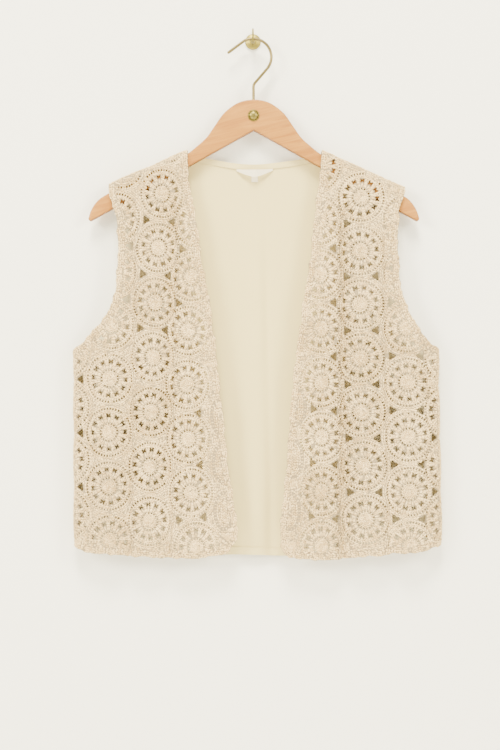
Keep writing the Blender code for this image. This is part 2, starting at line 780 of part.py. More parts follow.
def back_panel():
    lays = back_pair()
    step = 15 * MM
    left = [(x, y) for x, y in back_half_top(LEFT_FRONT, lays[1], step)]
    right = [(-x, y) for x, y in back_half_top(RIGHT_FRONT, lays[0], step)]
    neck_points = [right[0]] + [(x * MM, y * MM) for x, y in BACK_NECK] + [left[0]]
    hem_points = [left[-1]] + [(x * MM, y * MM) for x, y in BACK_HEM[::-1]] + [right[-1]]
    outline = joined(smooth_through(neck_points, step, 1), left,
                     smooth_through(hem_points, step, 1), right[::-1])
    turn, risen = [], []
    hem = [p for p in smooth_through(hem_points, 2 * step, 1) if abs(p[0]) < HEM_TURN_END]
    for lift, rise in ((HEM_TURN, HEM_TURN_RISE), (HEM_TURN + 0.6 * MM, 0.0)):
        line = [(x, y + lift) for x, y in hem]
        risen += [(p, rise) for p in line]
        turn += [(k, k + 1) for k in range(len(risen) - len(line), len(risen) - 1)]
    low = [(x, y + 3 * MM) for x, y in hem]
    turn += [(k, k + 1) for k in range(len(risen), len(risen) + len(low) - 1)]
    risen += [(p, HEM_TURN_RISE) for p in low]
    bends, bend_edges = bend_lines(LEFT_FRONT, lays[1], outline, 4, 26 * MM)
    mirrored, mirrored_edges = bend_lines(RIGHT_FRONT, lays[0], [(-x, y) for x, y in outline],
                                          4, 26 * MM)
    bend_edges += [(a + len(bends), b + len(bends)) for a, b in mirrored_edges]
    bends += [(-x, y) for x, y in mirrored]
    fill = [p for p in grid_points(outline, 16 * MM, 55 * MM)
            if p[1] > -665 * MM and unbent(lays[1 if p[0] > 0 else 0], abs(p[0]), p[1])]
    inner_fill = spread(fill, outline + bends + [p for p, h in risen], 6 * MM)
    outer_fill = spread(fill, outline + bends, 6 * MM)
    bends = [(p, 0.0) for p in bends]
    outer_edges = bend_edges
    turn += [(a + len(risen), b + len(risen)) for a, b in bend_edges]
    risen += bends

    def place(across, up, off):
        return place_on_back(lays, across, up, off)

    return cloth_wall("back_panel", [outline], (risen + [(p, 0.0) for p in inner_fill], turn),
                      (bends + [(p, 0.0) for p in outer_fill], outer_edges), place,
                      BACK_THICK / 2, COTTON_CLOTH)


def neck_line(step):
    return smooth_through([(-82, -153.2)] + BACK_NECK + [(84, -153.8)], step)


def neck_band():
    upper = neck_line(9 * MM)
    lower = [(x, y - NECK_BAND_HEIGHT) for x, y in upper]
    outline = joined(list(upper) + [lower[-1]], lower[::-1] + [tuple(upper[0])])
    front_of_back = BACK_DEPTH + BACK_THICK / 2 + SEAM_GAP + NECK_BAND_THICK / 2

    def place(across, up, off):
        return across, -(front_of_back + off), up

    return cloth_wall("neck_band", [outline], ([], []), ([], []), place, NECK_BAND_THICK / 2,
                      COTTON_CLOTH)


LABEL_LEFT = -22.0 * MM
LABEL_RIGHT = 26.5 * MM
LABEL_MIDDLE_DROP = 10.0 * MM
LABEL_END_DROP = 5.0 * MM


def label_bow(across):
    """How far the ribbon stands in front of its sewn ends, from 0 to 1."""
    t = (across - LABEL_LEFT) / (LABEL_RIGHT - LABEL_LEFT)
    return math.sin(math.pi * min(max(t, 0), 1)) ** 0.8


def band_under(across):
    line = neck_line(3 * MM)
    return float(np.interp(across, line[:, 0], line[:, 1])) - NECK_BAND_HEIGHT


def neck_label():
    places = np.linspace(LABEL_LEFT, LABEL_RIGHT, 17)
    upper = [(x, band_under(x) - SEAM_GAP) for x in places]
    lower = [(x, y - LABEL_END_DROP - (LABEL_MIDDLE_DROP - LABEL_END_DROP) * label_bow(x))
             for x, y in upper]
    outline = joined(upper + [lower[-1]], lower[::-1] + [upper[0]])
    nearest = BACK_DEPTH + BACK_THICK / 2 + SEAM_GAP + LABEL_THICK / 2

    def place(across, up, off):
        return across, -(nearest + LABEL_BOW * label_bow(across) + off), up

    return cloth_wall("neck_label", [outline], ([], []), ([], []), place, LABEL_THICK / 2,
                      RIBBON)


def label_tab():
    """Small folded tab that hangs behind the ribbon's middle, against the back."""
    middle = (LABEL_LEFT + LABEL_RIGHT) / 2
    wide, tall = TAB_SIZE
    shape = bmesh.new()
    bmesh.ops.create_cube(shape, size=1)
    data = bpy.data.meshes.new("label_tab")
    top = band_under(middle) - SEAM_GAP
    depth = BACK_DEPTH + BACK_THICK / 2 + SEAM_GAP + LABEL_THICK / 2
    for vert in shape.verts:
        vert.co = (middle + vert.co.x * wide, -depth + vert.co.y * LABEL_THICK,
                   top - LABEL_MIDDLE_DROP / 2 - tall / 2 + vert.co.z * (LABEL_MIDDLE_DROP + tall))
    shape.to_mesh(data)
    shape.free()
    return add_object("label_tab", data, RIBBON)


# ---------------------------------------------------------------- hanger and hooks


def board_outline():
    top = smooth_through(BOARD_TOP, 9 * MM)
    right = [tuple(p) for p in top] + [tuple(v * MM for v in BOARD_TIP)]
    left = [(-x, y) for x, y in right[:0:-1]]
    return [(x + BOARD_CENTRE, y) for x, y in right + [(0.0, APEX_UNDER)] + left]


def hanger_body():
    flat = bpy.data.curves.new("hanger_outline", "CURVE")
    flat.dimensions = "2D"
    flat.fill_mode = "BOTH"
    flat.extrude = BOARD_THICK / 2
    points = board_outline()
    line = flat.splines.new("POLY")
    line.points.add(len(points) - 1)
    for knot, (x, y) in zip(line.points, points):
        knot.co = (x, y, 0, 1)
    line.use_cyclic_u = True
    guide = bpy.data.objects.new("hanger_outline", flat)
    collection("cutters").objects.link(guide)
    guide.rotation_euler = (math.pi / 2, 0, 0)
    guide.location = (0, -BOARD_DEPTH, 0)
    bpy.context.view_layer.update()
    seen = guide.evaluated_get(bpy.context.evaluated_depsgraph_get())
    data = bpy.data.meshes.new_from_object(seen)
    data.name = "hanger_body"
    shape = bmesh.new()
    shape.from_mesh(data)
    bmesh.ops.remove_doubles(shape, verts=shape.verts, dist=0.01 * MM)
    bmesh.ops.recalc_face_normals(shape, faces=shape.faces)
    shape.to_mesh(data)
    shape.free()
    body = add_object("hanger_body", data, BEECH, smooth=True)
    body.matrix_world = guide.matrix_world.copy()
    bpy.data.objects.remove(guide, do_unlink=True)
    round_edges = body.modifiers.new("rounded_edges", "BEVEL")
    round_edges.width = BOARD_EDGE
    round_edges.segments = 2
    round_edges.limit_method = "ANGLE"
    round_edges.angle_limit = math.radians(60)
    round_edges.harden_normals = False
    bore = cutter("hook_bore", cylinder_mesh("hook_bore", BORE_RADIUS, 2 * BORE_LENGTH, 12),
                  (WIRE_FOOT, -BOARD_DEPTH, BOARD_TOP[0][1] * MM), (0, 0, 0))
    cut_with(body, bore)
    front_face = -BOARD_DEPTH - BOARD_THICK / 2
    hole = cutter("rivet_bore", cylinder_mesh("rivet_bore", RIVET_SHANK_RADIUS + SEAM_GAP,
                                              2 * (RIVET_SHANK_LENGTH + 2 * SEAM_GAP), 12),
                  (WIRE_FOOT, front_face, -RIVET_DROP), (math.pi / 2, 0, 0))
    cut_with(body, hole)
    return body


WIRE_FOOT = 0.8 * MM


def hook_route():
    """Middle of the hook's wire: stem, slanted run, round bend and straight end (x, z)."""
    foot = BOARD_TOP[0][1] * MM - BORE_LENGTH + 1.0 * MM
    knee = (WIRE_FOOT, -57.6 * MM)
    centre = (0.1 * MM, -HOOK_CENTRE_DROP)
    route = [(WIRE_FOOT, foot), (WIRE_FOOT, -70 * MM), (WIRE_FOOT, -60.5 * MM),
             (knee[0] + 0.9 * MM, knee[1] + 0.4 * MM), (knee[0] + 2.8 * MM, knee[1] + 2.9 * MM)]
    for degrees in range(-40, 127, 11):
        angle = math.radians(degrees)
        route.append((centre[0] + HOOK_BEND_RADIUS * math.cos(angle),
                      centre[1] + HOOK_BEND_RADIUS * math.sin(angle)))
    return route + [(-32.3 * MM, -15.2 * MM)]


def hanger_hook():
    wire = bpy.data.curves.new("hanger_hook", "CURVE")
    wire.dimensions = "3D"
    wire.bevel_depth = WIRE_RADIUS
    wire.bevel_resolution = 2
    wire.use_fill_caps = True
    route = hook_route()
    line = wire.splines.new("POLY")
    line.points.add(len(route) - 1)
    for knot, (x, z) in zip(line.points, route):
        knot.co = (x, -BOARD_DEPTH, z, 1)
    return add_object("hanger_hook", wire, CHAMPAGNE)


def turned(name, profile, sides, finish):
    """A turned piece about the Y axis: profile rows are (radius, distance from the wall)."""
    shape = bmesh.new()
    verts = [shape.verts.new((radius, 0, -reach)) for radius, reach in profile]
    for a, b in zip(verts, verts[1:]):
        shape.edges.new((a, b))
    data = bpy.data.meshes.new(name)
    shape.to_mesh(data)
    shape.free()
    made = add_object(name, data, finish)
    spin = made.modifiers.new("turned", "SCREW")
    spin.axis = "Z"
    spin.steps = sides
    spin.render_steps = sides
    spin.use_merge_vertices = True
    spin.merge_threshold = 0.01 * MM
    spin.use_smooth_shade = True
    made.rotation_euler = (-math.pi / 2, 0, 0)
    return made


def hanger_rivet():
    seat = SEAM_GAP
    flange = 0.9 * MM
    dome = 3.4 * MM
    profile = [(0, -RIVET_SHANK_LENGTH), (RIVET_SHANK_RADIUS, -RIVET_SHANK_LENGTH),
               (RIVET_SHANK_RADIUS, seat), (RIVET_FLANGE_RADIUS, seat),
               (RIVET_FLANGE_RADIUS, seat + 0.5 * MM),
               (RIVET_FLANGE_RADIUS - 0.6 * MM, seat + flange),
               (RIVET_DOME_RADIUS + 0.3 * MM, seat + 0.6 * MM),
               (RIVET_DOME_RADIUS, seat + 0.8 * MM)]
    for degrees in (25, 45, 65):
        angle = math.radians(degrees)
        profile.append((RIVET_DOME_RADIUS * math.cos(angle),
                        seat + 0.8 * MM + dome * math.sin(angle)))
    profile.append((0, seat + 0.8 * MM + dome))
    made = turned("hanger_rivet", profile, 16, BRASS)
    made.location = (WIRE_FOOT, -BOARD_DEPTH - BOARD_THICK / 2, -RIVET_DROP)
    return made


def wall_hook():
    """Rose with a stem out of its lower half and a pin that turns up at the stem's end."""
    profile = [(0, 0), (ROSE_RADIUS - 0.4 * MM, 0), (ROSE_RADIUS, 0.5 * MM),
               (ROSE_RADIUS - 0.6 * MM, 1.6 * MM), (ROSE_RADIUS * 0.72, 2.6 * MM),
               (ROSE_RADIUS * 0.4, ROSE_THICK), (0, ROSE_THICK + 0.4 * MM)]
    rose = turned("wall_hook", profile, 20, BRASS)
    rose.location = (0, 0, ROSE_UP)
    bend = 3.2 * MM
    route = [(0, -1.5 * MM, -STEM_DROP)]
    for degrees in (0, 22, 45, 68, 90):
        angle = math.radians(degrees)
        route.append((0, -(STEM_LENGTH - bend) - bend * math.sin(angle),
                      -STEM_DROP + bend * (1 - math.cos(angle))))
    route.append((0, -STEM_LENGTH, PIN_TOP - 6 * MM))
    route.append((0, -STEM_LENGTH, PIN_TOP))
    stem = bpy.data.curves.new("hook_stem", "CURVE")
    stem.dimensions = "3D"
    stem.bevel_depth = STEM_RADIUS
    stem.bevel_resolution = 2
    stem.use_fill_caps = True
    line = stem.splines.new("POLY")
    line.points.add(len(route) - 1)
    for index, (knot, place) in enumerate(zip(line.points, route)):
        knot.co = (*place, 1)
        knot.radius = 1.0 if index < 2 else max(PIN_RADIUS / STEM_RADIUS, 1 - 0.08 * index)
    guide = bpy.data.objects.new("hook_stem", stem)
    collection("cutters").objects.link(guide)
    bpy.context.view_layer.update()
    seen = guide.evaluated_get(bpy.context.evaluated_depsgraph_get())
    data = bpy.data.meshes.new_from_object(seen)
    shape = bmesh.new()
    shape.from_mesh(data)
    bmesh.ops.remove_doubles(shape, verts=shape.verts, dist=0.01 * MM)
    shape.to_mesh(data)
    shape.free()
    tool = cutter("hook_stem_solid", data, (0, 0, 0), (0, 0, 0))
    bpy.data.objects.remove(guide, do_unlink=True)
    join = rose.modifiers.new("stem", "BOOLEAN")
    join.operation = "UNION"
    join.solver = "EXACT"
    join.object = tool
    return rose


def main():
    start_empty()
    wall_hook()
    hanger_body()
    hanger_hook()
    hanger_rivet()
    back_panel()
    neck_band()
    neck_label()
    label_tab()
    crochet_front("front_right", RIGHT_FRONT)
    crochet_front("front_left", LEFT_FRONT)


main()
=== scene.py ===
"""The look of a crochet gilet on a wooden hanger and a brass wall hook.

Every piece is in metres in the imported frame: +X to the right, +Z up, the wall is Y = 0. Cloth is
drawn flat as (outward, up), with outward counted from the middle of the garment, and is then
laid over the hanger's arms and round the sides, as it hangs.
"""

import math
from collections import namedtuple

import bmesh
import bpy
import numpy as np
from bpy.props import FloatProperty, FloatVectorProperty, IntProperty, PointerProperty
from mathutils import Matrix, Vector
from mathutils.geometry import delaunay_2d_cdt
from mathutils.kdtree import KDTree


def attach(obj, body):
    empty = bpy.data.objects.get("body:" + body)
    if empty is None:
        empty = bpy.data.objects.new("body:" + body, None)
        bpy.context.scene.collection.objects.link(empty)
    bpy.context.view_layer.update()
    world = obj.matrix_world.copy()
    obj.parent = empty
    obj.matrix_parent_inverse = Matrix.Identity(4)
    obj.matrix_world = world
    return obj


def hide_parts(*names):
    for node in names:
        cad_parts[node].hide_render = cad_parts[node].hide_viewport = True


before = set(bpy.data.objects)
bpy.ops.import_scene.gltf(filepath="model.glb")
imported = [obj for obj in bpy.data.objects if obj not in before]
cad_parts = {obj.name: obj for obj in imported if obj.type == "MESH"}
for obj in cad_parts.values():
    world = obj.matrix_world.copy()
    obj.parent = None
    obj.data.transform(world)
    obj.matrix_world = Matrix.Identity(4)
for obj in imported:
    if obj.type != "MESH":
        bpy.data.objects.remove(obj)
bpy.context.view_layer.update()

bl_info = {
    "name": "Crochet gilet",
    "version": (1, 0, 0),
    "blender": (4, 5, 0),
    "location": "View3D > Sidebar > Gilet",
    "description": "Crochets the fronts and finishes the back, hanger and wall hook",
    "category": "Object",
}

MM = 0.001
BODY = "root"

# ---------------------------------------------------------------- shapes of the garment

# Columns of motifs: outward place at yoke, waist and hem (mm), height of the top motif,
# pitch down the column, how many, and width over height of each motif
Column = namedtuple("Column", "yoke waist hem top pitch count squash")
# Vertical folds: outward place at yoke and hem, half width and depth (mm)
Fold = namedtuple("Fold", "yoke hem width depth")
# A drawn fold's width on its inner and on its outer side, against the solid's
FOLD_NEAR, FOLD_FAR = 0.45, 1.6

YOKE_UP = -200.0 * MM
HEM_UP = -680.0 * MM
BOARD_CENTRE = 1.2 * MM
BOARD_DEPTH = 15.0 * MM
BOARD_THICK = 12.0 * MM
CROCHET_THICK = 2.2 * MM
BACK_THICK = 1.3 * MM
SEAM_DEPTH = 12.3 * MM
BACK_DEPTH = 6.3 * MM
YOKE_DEPTH, CHEST_DEPTH, HEM_DEPTH = 22.5 * MM, 29.0 * MM, 31.0 * MM
SIDE_ROLL, BACK_SIDE_ROLL = 14.0 * MM, 4.0 * MM
SHOULDER_SEAM_DEPTH = 13.0 * MM
SHOULDER_TOP, SHOULDER_TOP_AT = -148.5 * MM, 89.0 * MM
SHOULDER_SLOPE = 0.44
SHOULDER_CORNER = 4.0 * MM
TILT = math.atan(SHOULDER_SLOPE)
UPHILL = (math.sin(TILT), math.cos(TILT))
BACK_CORNER = SHOULDER_SEAM_DEPTH - BACK_DEPTH - 0.4 * MM
# The front comes forward, and its folds begin, over these distances under the shoulder
CHEST_FADE, FOLD_FADE = (24 * MM, 200 * MM), (24 * MM, 95 * MM)
# Its lower part leans out further, between these distances below the wall hook
HEM_FADE = (400 * MM, -HEM_UP)
# The back's folds end towards its sides and its yoke
BACK_SIDE_FADE, BACK_YOKE_FADE = (-205 * MM, -175 * MM), (200 * MM, 330 * MM)
# Slow unevenness of the fronts: wavelengths (mm), height of each and the seed of their turns
SLACK_WAVES, SLACK_HEIGHT, SLACK_SEED = (95, 62, 41, 27), 0.32 * MM, 7

RIGHT_FRONT = {
    "sign": -1,
    "side": (238.0 * MM, 236.5 * MM),
    "neck_out": 86.6 * MM,
    "tip_out": 191.0 * MM,
    "underarm": -411.0 * MM,
    "closed_at": 0.9 * MM,
    "sharper": 1.35,
    "side_hem": -668.0 * MM,
    "armhole": [(190.0, -207), (184.0, -225), (179.8, -246), (178.9, -288), (184.2, -342),
                (196.6, -368), (219.6, -395), (233.0, -406.5)],
    "hem": [(228, -676), (200, -680), (149.4, -683.7), (100, -686), (73.5, -686.2)],
    "front_edge": [(39.5, -680.4), (25.2, -668), (20, -654), (25.2, -612), (33.5, -559.5),
                   (37.8, -511), (43, -469), (47.3, -427), (53.1, -377), (58.4, -338.3),
                   (67.2, -297.6), (72.5, -253.4), (81.3, -205.7), (86.3, -172)],
    "columns": [
        Column(246.6, 246.6, 246.6, -415.0, 71.0, 4, 0.95),
        Column(177.0, 189.0, 188.5, -235.8, 71.0, 7, 0.93),
        Column(120.2, 133.0, 136.5, -204.0, 72.2, 7, 0.88),
        Column(69.0, 87.0, 73.5, -243.5, 71.2, 7, 0.90),
        Column(54.0, 44.5, 36.5, -498.1, 62.8, 3, 0.42),
    ],
    "folds": [
        Fold(157, 162, 9.0, 4.6),
        Fold(103, 110, 9.0, 4.6),
        Fold(212, 214, 10.0, 2.5),
    ],
}
LEFT_FRONT = {
    "sign": 1,
    "side": (242.5 * MM, 250.0 * MM),
    "neck_out": 91.0 * MM,
    "tip_out": 201.5 * MM,
    "underarm": -409.0 * MM,
    "closed_at": 5.0 * MM,
    "sharper": 2.2,
    "side_hem": -669.0 * MM,
    "armhole": [(199.0, -209), (194.6, -225), (192.0, -262), (195.4, -324), (202.5, -350),
                (216.7, -379), (230.8, -398), (239.0, -405.0)],
    "hem": [(240, -673), (215, -678), (172.3, -681.6), (130, -686), (100.8, -687.9)],
    "front_edge": [(67, -687), (47, -684), (37.5, -671), (35.6, -648), (38.8, -616),
                   (43.5, -574), (46.5, -532), (51.3, -469), (57, -416), (62.5, -377),
                   (67.8, -338.3), (74.9, -297.6), (79.3, -253.4), (83.8, -214.5), (89, -174)],
    "columns": [
        Column(255.0, 256.0, 257.0, -420.0, 71.6, 4, 0.95),
        Column(204.0, 204.0, 209.0, -310.0, 72.0, 6, 0.97),
        Column(143.3, 142.5, 151.0, -209.1, 71.0, 7, 0.96),
        Column(88.0, 90.0, 90.0, -239.7, 71.6, 7, 0.88),
        Column(68.0, 59.5, 45.5, -485.8, 69.0, 3, 0.42),
    ],
    "folds": [
        Fold(118, 117, 9.0, 4.8),
        Fold(174, 180, 10.0, 2.5),
        Fold(232, 231, 10.0, 2.0),
    ],
}
BACK_NECK = [(-73, -154.2), (-55.2, -156.8), (-25.8, -161.9), (1.1, -163.7), (25.4, -161.9),
             (56, -158), (74, -155.0)]
BACK_HEM = [(-228, -675), (-200, -680), (-100, -684), (0, -684), (30, -685.4), (100, -684.5),
            (200, -679), (241, -673)]
BACK_FOLDS = [
    Fold(8, 0, 13.0, 2.4),
    Fold(16, 24, 5.0, -2.4),
    Fold(-30, -22, 12.0, -1.5),
    Fold(120, 128, 22.0, -1.0),
    Fold(-130, -140, 24.0, -1.0),
]

# ---------------------------------------------------------------- the crochet itself

# Bumps of a hand-made edge: wavelength and height (mm), and how far from its ends they begin
EDGE_BUMPS = [(47.0, 0.6), (29.0, 0.5), (17.0, 0.45), (11.0, 0.35)]
EDGE_FADE = 20 * MM

# A motif narrower than this against its height is an oval, and this tall against a round one
OVAL_UNDER, OVAL_TALL = 0.5, 0.75
MOTIF_REACH = 36.0 * MM
PETALS = 12
# Rows along the edge, and rows in all where no motif reaches
EDGE_ROWS, STRIP_ROWS = 3, 8
EDGE_START, EDGE_PITCH = 1.3 * MM, 2.5 * MM
EDGE_STEP, EDGE_STITCH = 3.2 * MM, (4.3, 2.35)
EDGE_LIFT, STRIP_LIFT = 0.95, 0.7
EDGE_LEAN, EDGE_TURN, EDGE_ASTRAY = math.radians(26), 0.17, 0.18 * MM
# A row keeps the stitches that lie at this share of its distance from the edge, so that no
# row crosses itself in a corner
EDGE_KEEP = 0.93
STRIP_REACH, STRIP_MARGIN = 20.0 * MM, 1.5 * MM
BORDER = EDGE_START + EDGE_PITCH * EDGE_ROWS - 0.6 * MM
GAP_CORNER, GAP_SIDE = 6.6 * MM, 3.5 * MM
# Beside a gap's corner: towards that corner, and towards the motif that the side faces (mm)
GAP_OUT, GAP_IN = 3.5, 2.5
GAP_MARGIN = 7.0 * MM
FOLDS_CLOSE_UNDER = -400.0 * MM
GROUND_THICK = 1.9 * MM
DISC_RADIUS, DISC_RISE = 9.0 * MM, 0.9 * MM
PUFF_RADIUS, PUFF = 38.0 * MM, 1.6 * MM
SKIPPED = 0.035
# How far the circles round two openings may overlap; petals are longer than they are wide
DOTS_APART, PETALS_APART = -1.0 * MM, -3.0 * MM
# Fillers: how bare the ground is where one goes, how far apart and how far from an opening
# they lie, the grid they are sought on, and their length, width and lift (mm)
FILL_BARE, FILL_APART, FILL_MARGIN = 1.6 * MM, 2.2 * MM, 1.15 * MM
FILL_GRID, FILL_STITCH = 1.3 * MM, (3.6, 2.1, 0.55)
# Each stitch hides the ground to this share of its length either way; a filler lies off the
# grid by up to this much (mm)
FILL_HIDDEN, FILL_ASTRAY = 0.3, 0.4
# How one stitch differs from the next: place, turn, share of its size, lift and tone
VARY_PLACE, VARY_TURN, VARY_SIZE = 0.16 * MM, math.radians(7), 0.07
VARY_LIFT, VARY_TONE = 0.12 * MM, 0.42

# Rows of stitches round a motif's middle: radius (mm), how many, length, width and lift (mm),
# turn out of the row's own direction (degrees; 90 is a post that points outwards) and the
# share of a petal by which the row is shifted
Row = namedtuple("Row", "radius count length width lift lean shift")
MOTIF_ROWS = [
    Row(0.0, 1, 3.2, 3.0, 1.35, 0, 0.0),
    Row(2.3, 6, 3.3, 2.8, 1.3, 22, 0.0),
    Row(4.6, 12, 3.4, 2.8, 1.2, -22, 0.2),
    Row(6.9, 18, 3.4, 2.8, 1.0, 22, 0.0),
    Row(9.1, 24, 3.1, 2.3, 0.65, 0, 0.3),
    Row(26.7, 46, 4.8, 2.2, 0.9, 24, 0.0),
    Row(28.8, 50, 4.6, 2.0, 0.75, -24, 0.3),
    Row(33.6, 54, 4.8, 2.15, 0.75, -16, 0.4),
    Row(36.0, 58, 4.8, 2.15, 0.65, 16, 0.2),
    Row(38.4, 62, 4.8, 2.15, 0.6, -16, 0.0),
    Row(40.8, 66, 4.8, 2.15, 0.55, 16, 0.5),
]
# Rounds of an oval from the outside in: distance in from its edge (mm), lean (90 is a post that
# points outwards) and lift
OvalRow = namedtuple("OvalRow", "inward lean lift")
OVAL_POST = OvalRow(3.4, 90, 0.75)
OVAL_ROWS = [OvalRow(-5.2, 20, 0.6), OvalRow(-2.6, -20, 0.7), OvalRow(0.0, 20, 0.9),
             OVAL_POST, OvalRow(6.6, -20, 0.9), OvalRow(9.2, 20, 1.1),
             OvalRow(11.8, -20, 1.3), OvalRow(14.2, 20, 1.3)]
# Half the oval's width and height and the least half width of a round, the length of a stitch,
# the width of a stitch and of a post, the distance from one to the next and the size of the
# pits between posts (mm)
OVAL_ACROSS, OVAL_UP, OVAL_LEAST = 15.1, 27.0, 0.6
OVAL_LENGTH, OVAL_WIDTH, OVAL_POST_WIDTH = 4.1, 2.25, 1.6
OVAL_STEP, OVAL_POST_STEP, OVAL_DOT = 3.5, 3.5 + 1.1, 1.3
# Rings of small round holes: radius (mm), how many, a hole's size, and the length and width of
# the stitch between two of them
Dots = namedtuple("Dots", "radius count size length width")
DOT_ROWS = [Dots(11.3, 18, 1.15, 2.8, 1.5), Dots(31.2, 50, 1.3, 3.6, 1.6)]
DOT_SIDES, DOT_LIFT = 5, 0.7
# How much the dots of a row grow and shrink round a motif
DOT_SWELL = 0.3
# Posts of a petal: before (-1), past (1) or at (0) its middle, where each ends (mm), and in
# how many stitches
Post = namedtuple("Post", "side end pieces")
POSTS = [Post(0, 18.6, 1), Post(-1, 25.5, 3), Post(1, 25.5, 3)]
POST_FROM, POST_WIDTH, POST_LIFT, POST_OVERLAP = 13.2, 2.35, 0.8, 1.25
# Degrees from the petal's middle to a post, more at its half height, and its lean at its ends
POST_SWING, POST_BOW, POST_LEAN = 11.4, 0.9, 9
# Stitches laid once in each petal: radius, length, width and lift (mm), lean (radians) and
# degrees past the petal's middle. The first is a nub at the hole's outer end
Single = namedtuple("Single", "radius length width lift lean past")
SINGLES = [Single(25.1, 2.8, 1.5, 0.6, math.pi / 2, 0), Single(22.0, 5.2, 1.8, 1.35, 0.25, 15),
           Single(18.9, 5.0, 1.8, 1.35, 0.25, 15)]
# One bow-tie hole, as (across, radius) in mm, with a nub of yarn at its outer and inner middle
PETAL_MEAN = 22.3
PETAL_HOLE = [(-3.0, 19.9), (-1.3, 19.5), (0.3, 21.0), (1.6, 19.7), (3.1, 20.2), (2.5, 22.2),
              (3.2, 24.6), (1.6, 25.2), (-0.3, 23.6), (-1.8, 25.0), (-3.3, 24.3), (-2.4, 22.3)]
PETAL_SIZES = (0.85, 1.15)

# ---------------------------------------------------------------- small helpers


def linear(code):
    """Linear red, green, blue and alpha of an sRGB hex colour."""
    values = [int(code[k:k + 2], 16) / 255 for k in (1, 3, 5)]
    return [v / 12.92 if v <= 0.04045 else ((v + 0.055) / 1.055) ** 2.4 for v in values] + [1.0]


def connect(tree, node, links):
    """Sets a node's inputs, each to a value or to another node's output."""
    for name, value in links.items():
        if isinstance(value, bpy.types.NodeSocket):
            tree.links.new(value, node.inputs[name])
        else:
            node.inputs[name].default_value = value


def add(tree, kind, links=None, **settings):
    """Adds a node with its inputs and its settings."""
    made = tree.nodes.new(kind)
    for name, value in settings.items():
        setattr(made, name, value)
    connect(tree, made, links or {})
    return made


def blank(name):
    """A new material, its node tree, its Principled shader and its texture coordinates."""
    made = bpy.data.materials.new(name)
    made.use_nodes = True
    tree = made.node_tree
    place = add(tree, "ShaderNodeTexCoord").outputs
    return made, tree, tree.nodes["Principled BSDF"], place


def darker(colour, share):
    return [c * share for c in colour[:3]] + [1.0]


def in_metres(points):
    return [tuple(v * MM for v in point) for point in points]


def unit(vectors):
    return vectors / np.linalg.norm(vectors, axis=-1, keepdims=True)


def left_of(ahead):
    return np.column_stack([-ahead[:, 1], ahead[:, 0]])


def spread_round(count, shift=0.0):
    return 2 * math.pi * (np.arange(count) + shift) / count


def smooth_through(points, step, scale=MM):
    """Points about step apart on the smooth curve through the given points."""
    knots = np.array(points, float) * scale
    knots = np.vstack([2 * knots[0] - knots[1], knots, 2 * knots[-1] - knots[-2]])
    dense = []
    for a, b, c, d in zip(knots[:-3], knots[1:-2], knots[2:-1], knots[3:]):
        for t in np.linspace(0, 1, 24, endpoint=False):
            dense.append(0.5 * (2 * b + (c - a) * t + (2 * a - 5 * b + 4 * c - d) * t * t
                                + (3 * b - a - 3 * c + d) * t ** 3))
    dense.append(knots[-2])
    return even_steps(np.array(dense), step)


def lengths_along(path):
    steps = np.linalg.norm(np.diff(path, axis=0), axis=1)
    return np.concatenate([[0], np.cumsum(steps)])


def even_steps(path, step):
    lengths = lengths_along(path)
    count = max(1, round(lengths[-1] / step))
    wanted = np.linspace(0, lengths[-1], count + 1)
    return np.column_stack([np.interp(wanted, lengths, path[:, i])
                            for i in range(path.shape[1])])


def joined(*stretches):
    """One closed outline from stretches that each start where the last one ended."""
    return np.array([tuple(p) for stretch in stretches for p in list(stretch)[:-1]])


def inside(points, outline):
    """Which of the points lie inside a closed outline."""
    x, y = points[:, 0], points[:, 1]
    hit = np.zeros(len(points), bool)
    for (x1, y1), (x2, y2) in zip(outline, np.roll(outline, -1, axis=0)):
        if y1 == y2:
            continue
        hit ^= ((y1 > y) != (y2 > y)) & (x < x1 + (y - y1) * (x2 - x1) / (y2 - y1))
    return hit


def reach_to(points, outline, chunk=4000):
    """Distance of each point from a closed outline."""
    a = np.array(outline)
    b = np.roll(a, -1, axis=0)
    found = np.empty(len(points))
    for start in range(0, len(points), chunk):
        p = points[start:start + chunk, None, :]
        along = ((p - a) * (b - a)).sum(2) / ((b - a) ** 2).sum(1)
        near = a + (b - a) * np.clip(along, 0, 1)[:, :, None]
        found[start:start + chunk] = np.linalg.norm(near - p, axis=2).min(1)
    return found


def signed_area(outline):
    x, y = np.array(outline).T
    return (x * np.roll(y, -1) - np.roll(x, -1) * y).sum() / 2


def anticlockwise(loop):
    return loop if signed_area(loop) > 0 else loop[::-1]


def strip_between(one, other):
    """The closed outline between two lines that run the same way."""
    return anticlockwise(np.vstack([one, other[::-1]]))


def flat_area(outline, openings=()):
    return float(abs(signed_area(outline)) - sum(abs(signed_area(loop)) for loop in openings))


def ease(value, low, high):
    t = np.clip((value - low) / (high - low), 0, 1)
    return t * t * (3 - 2 * t)


def tree_of(points):
    """A search tree of flat points."""
    tree = KDTree(len(points))
    for index, (x, y) in enumerate(points):
        tree.insert((x, y, 0.0), index)
    tree.balance()
    return tree


def ring_faces(rings, sides):
    """Triangles of a closed round piece: an end point, rings of points, an end point."""
    faces = []
    last = 1 + rings * sides
    for k in range(sides):
        n = (k + 1) % sides
        faces.append((0, 1 + n, 1 + k))
        for a in range(1, last - sides, sides):
            b = a + sides
            faces += [(a + k, a + n, b + n), (a + k, b + n, b + k)]
        faces.append((last - sides + k, last - sides + n, last))
    return np.array(faces)


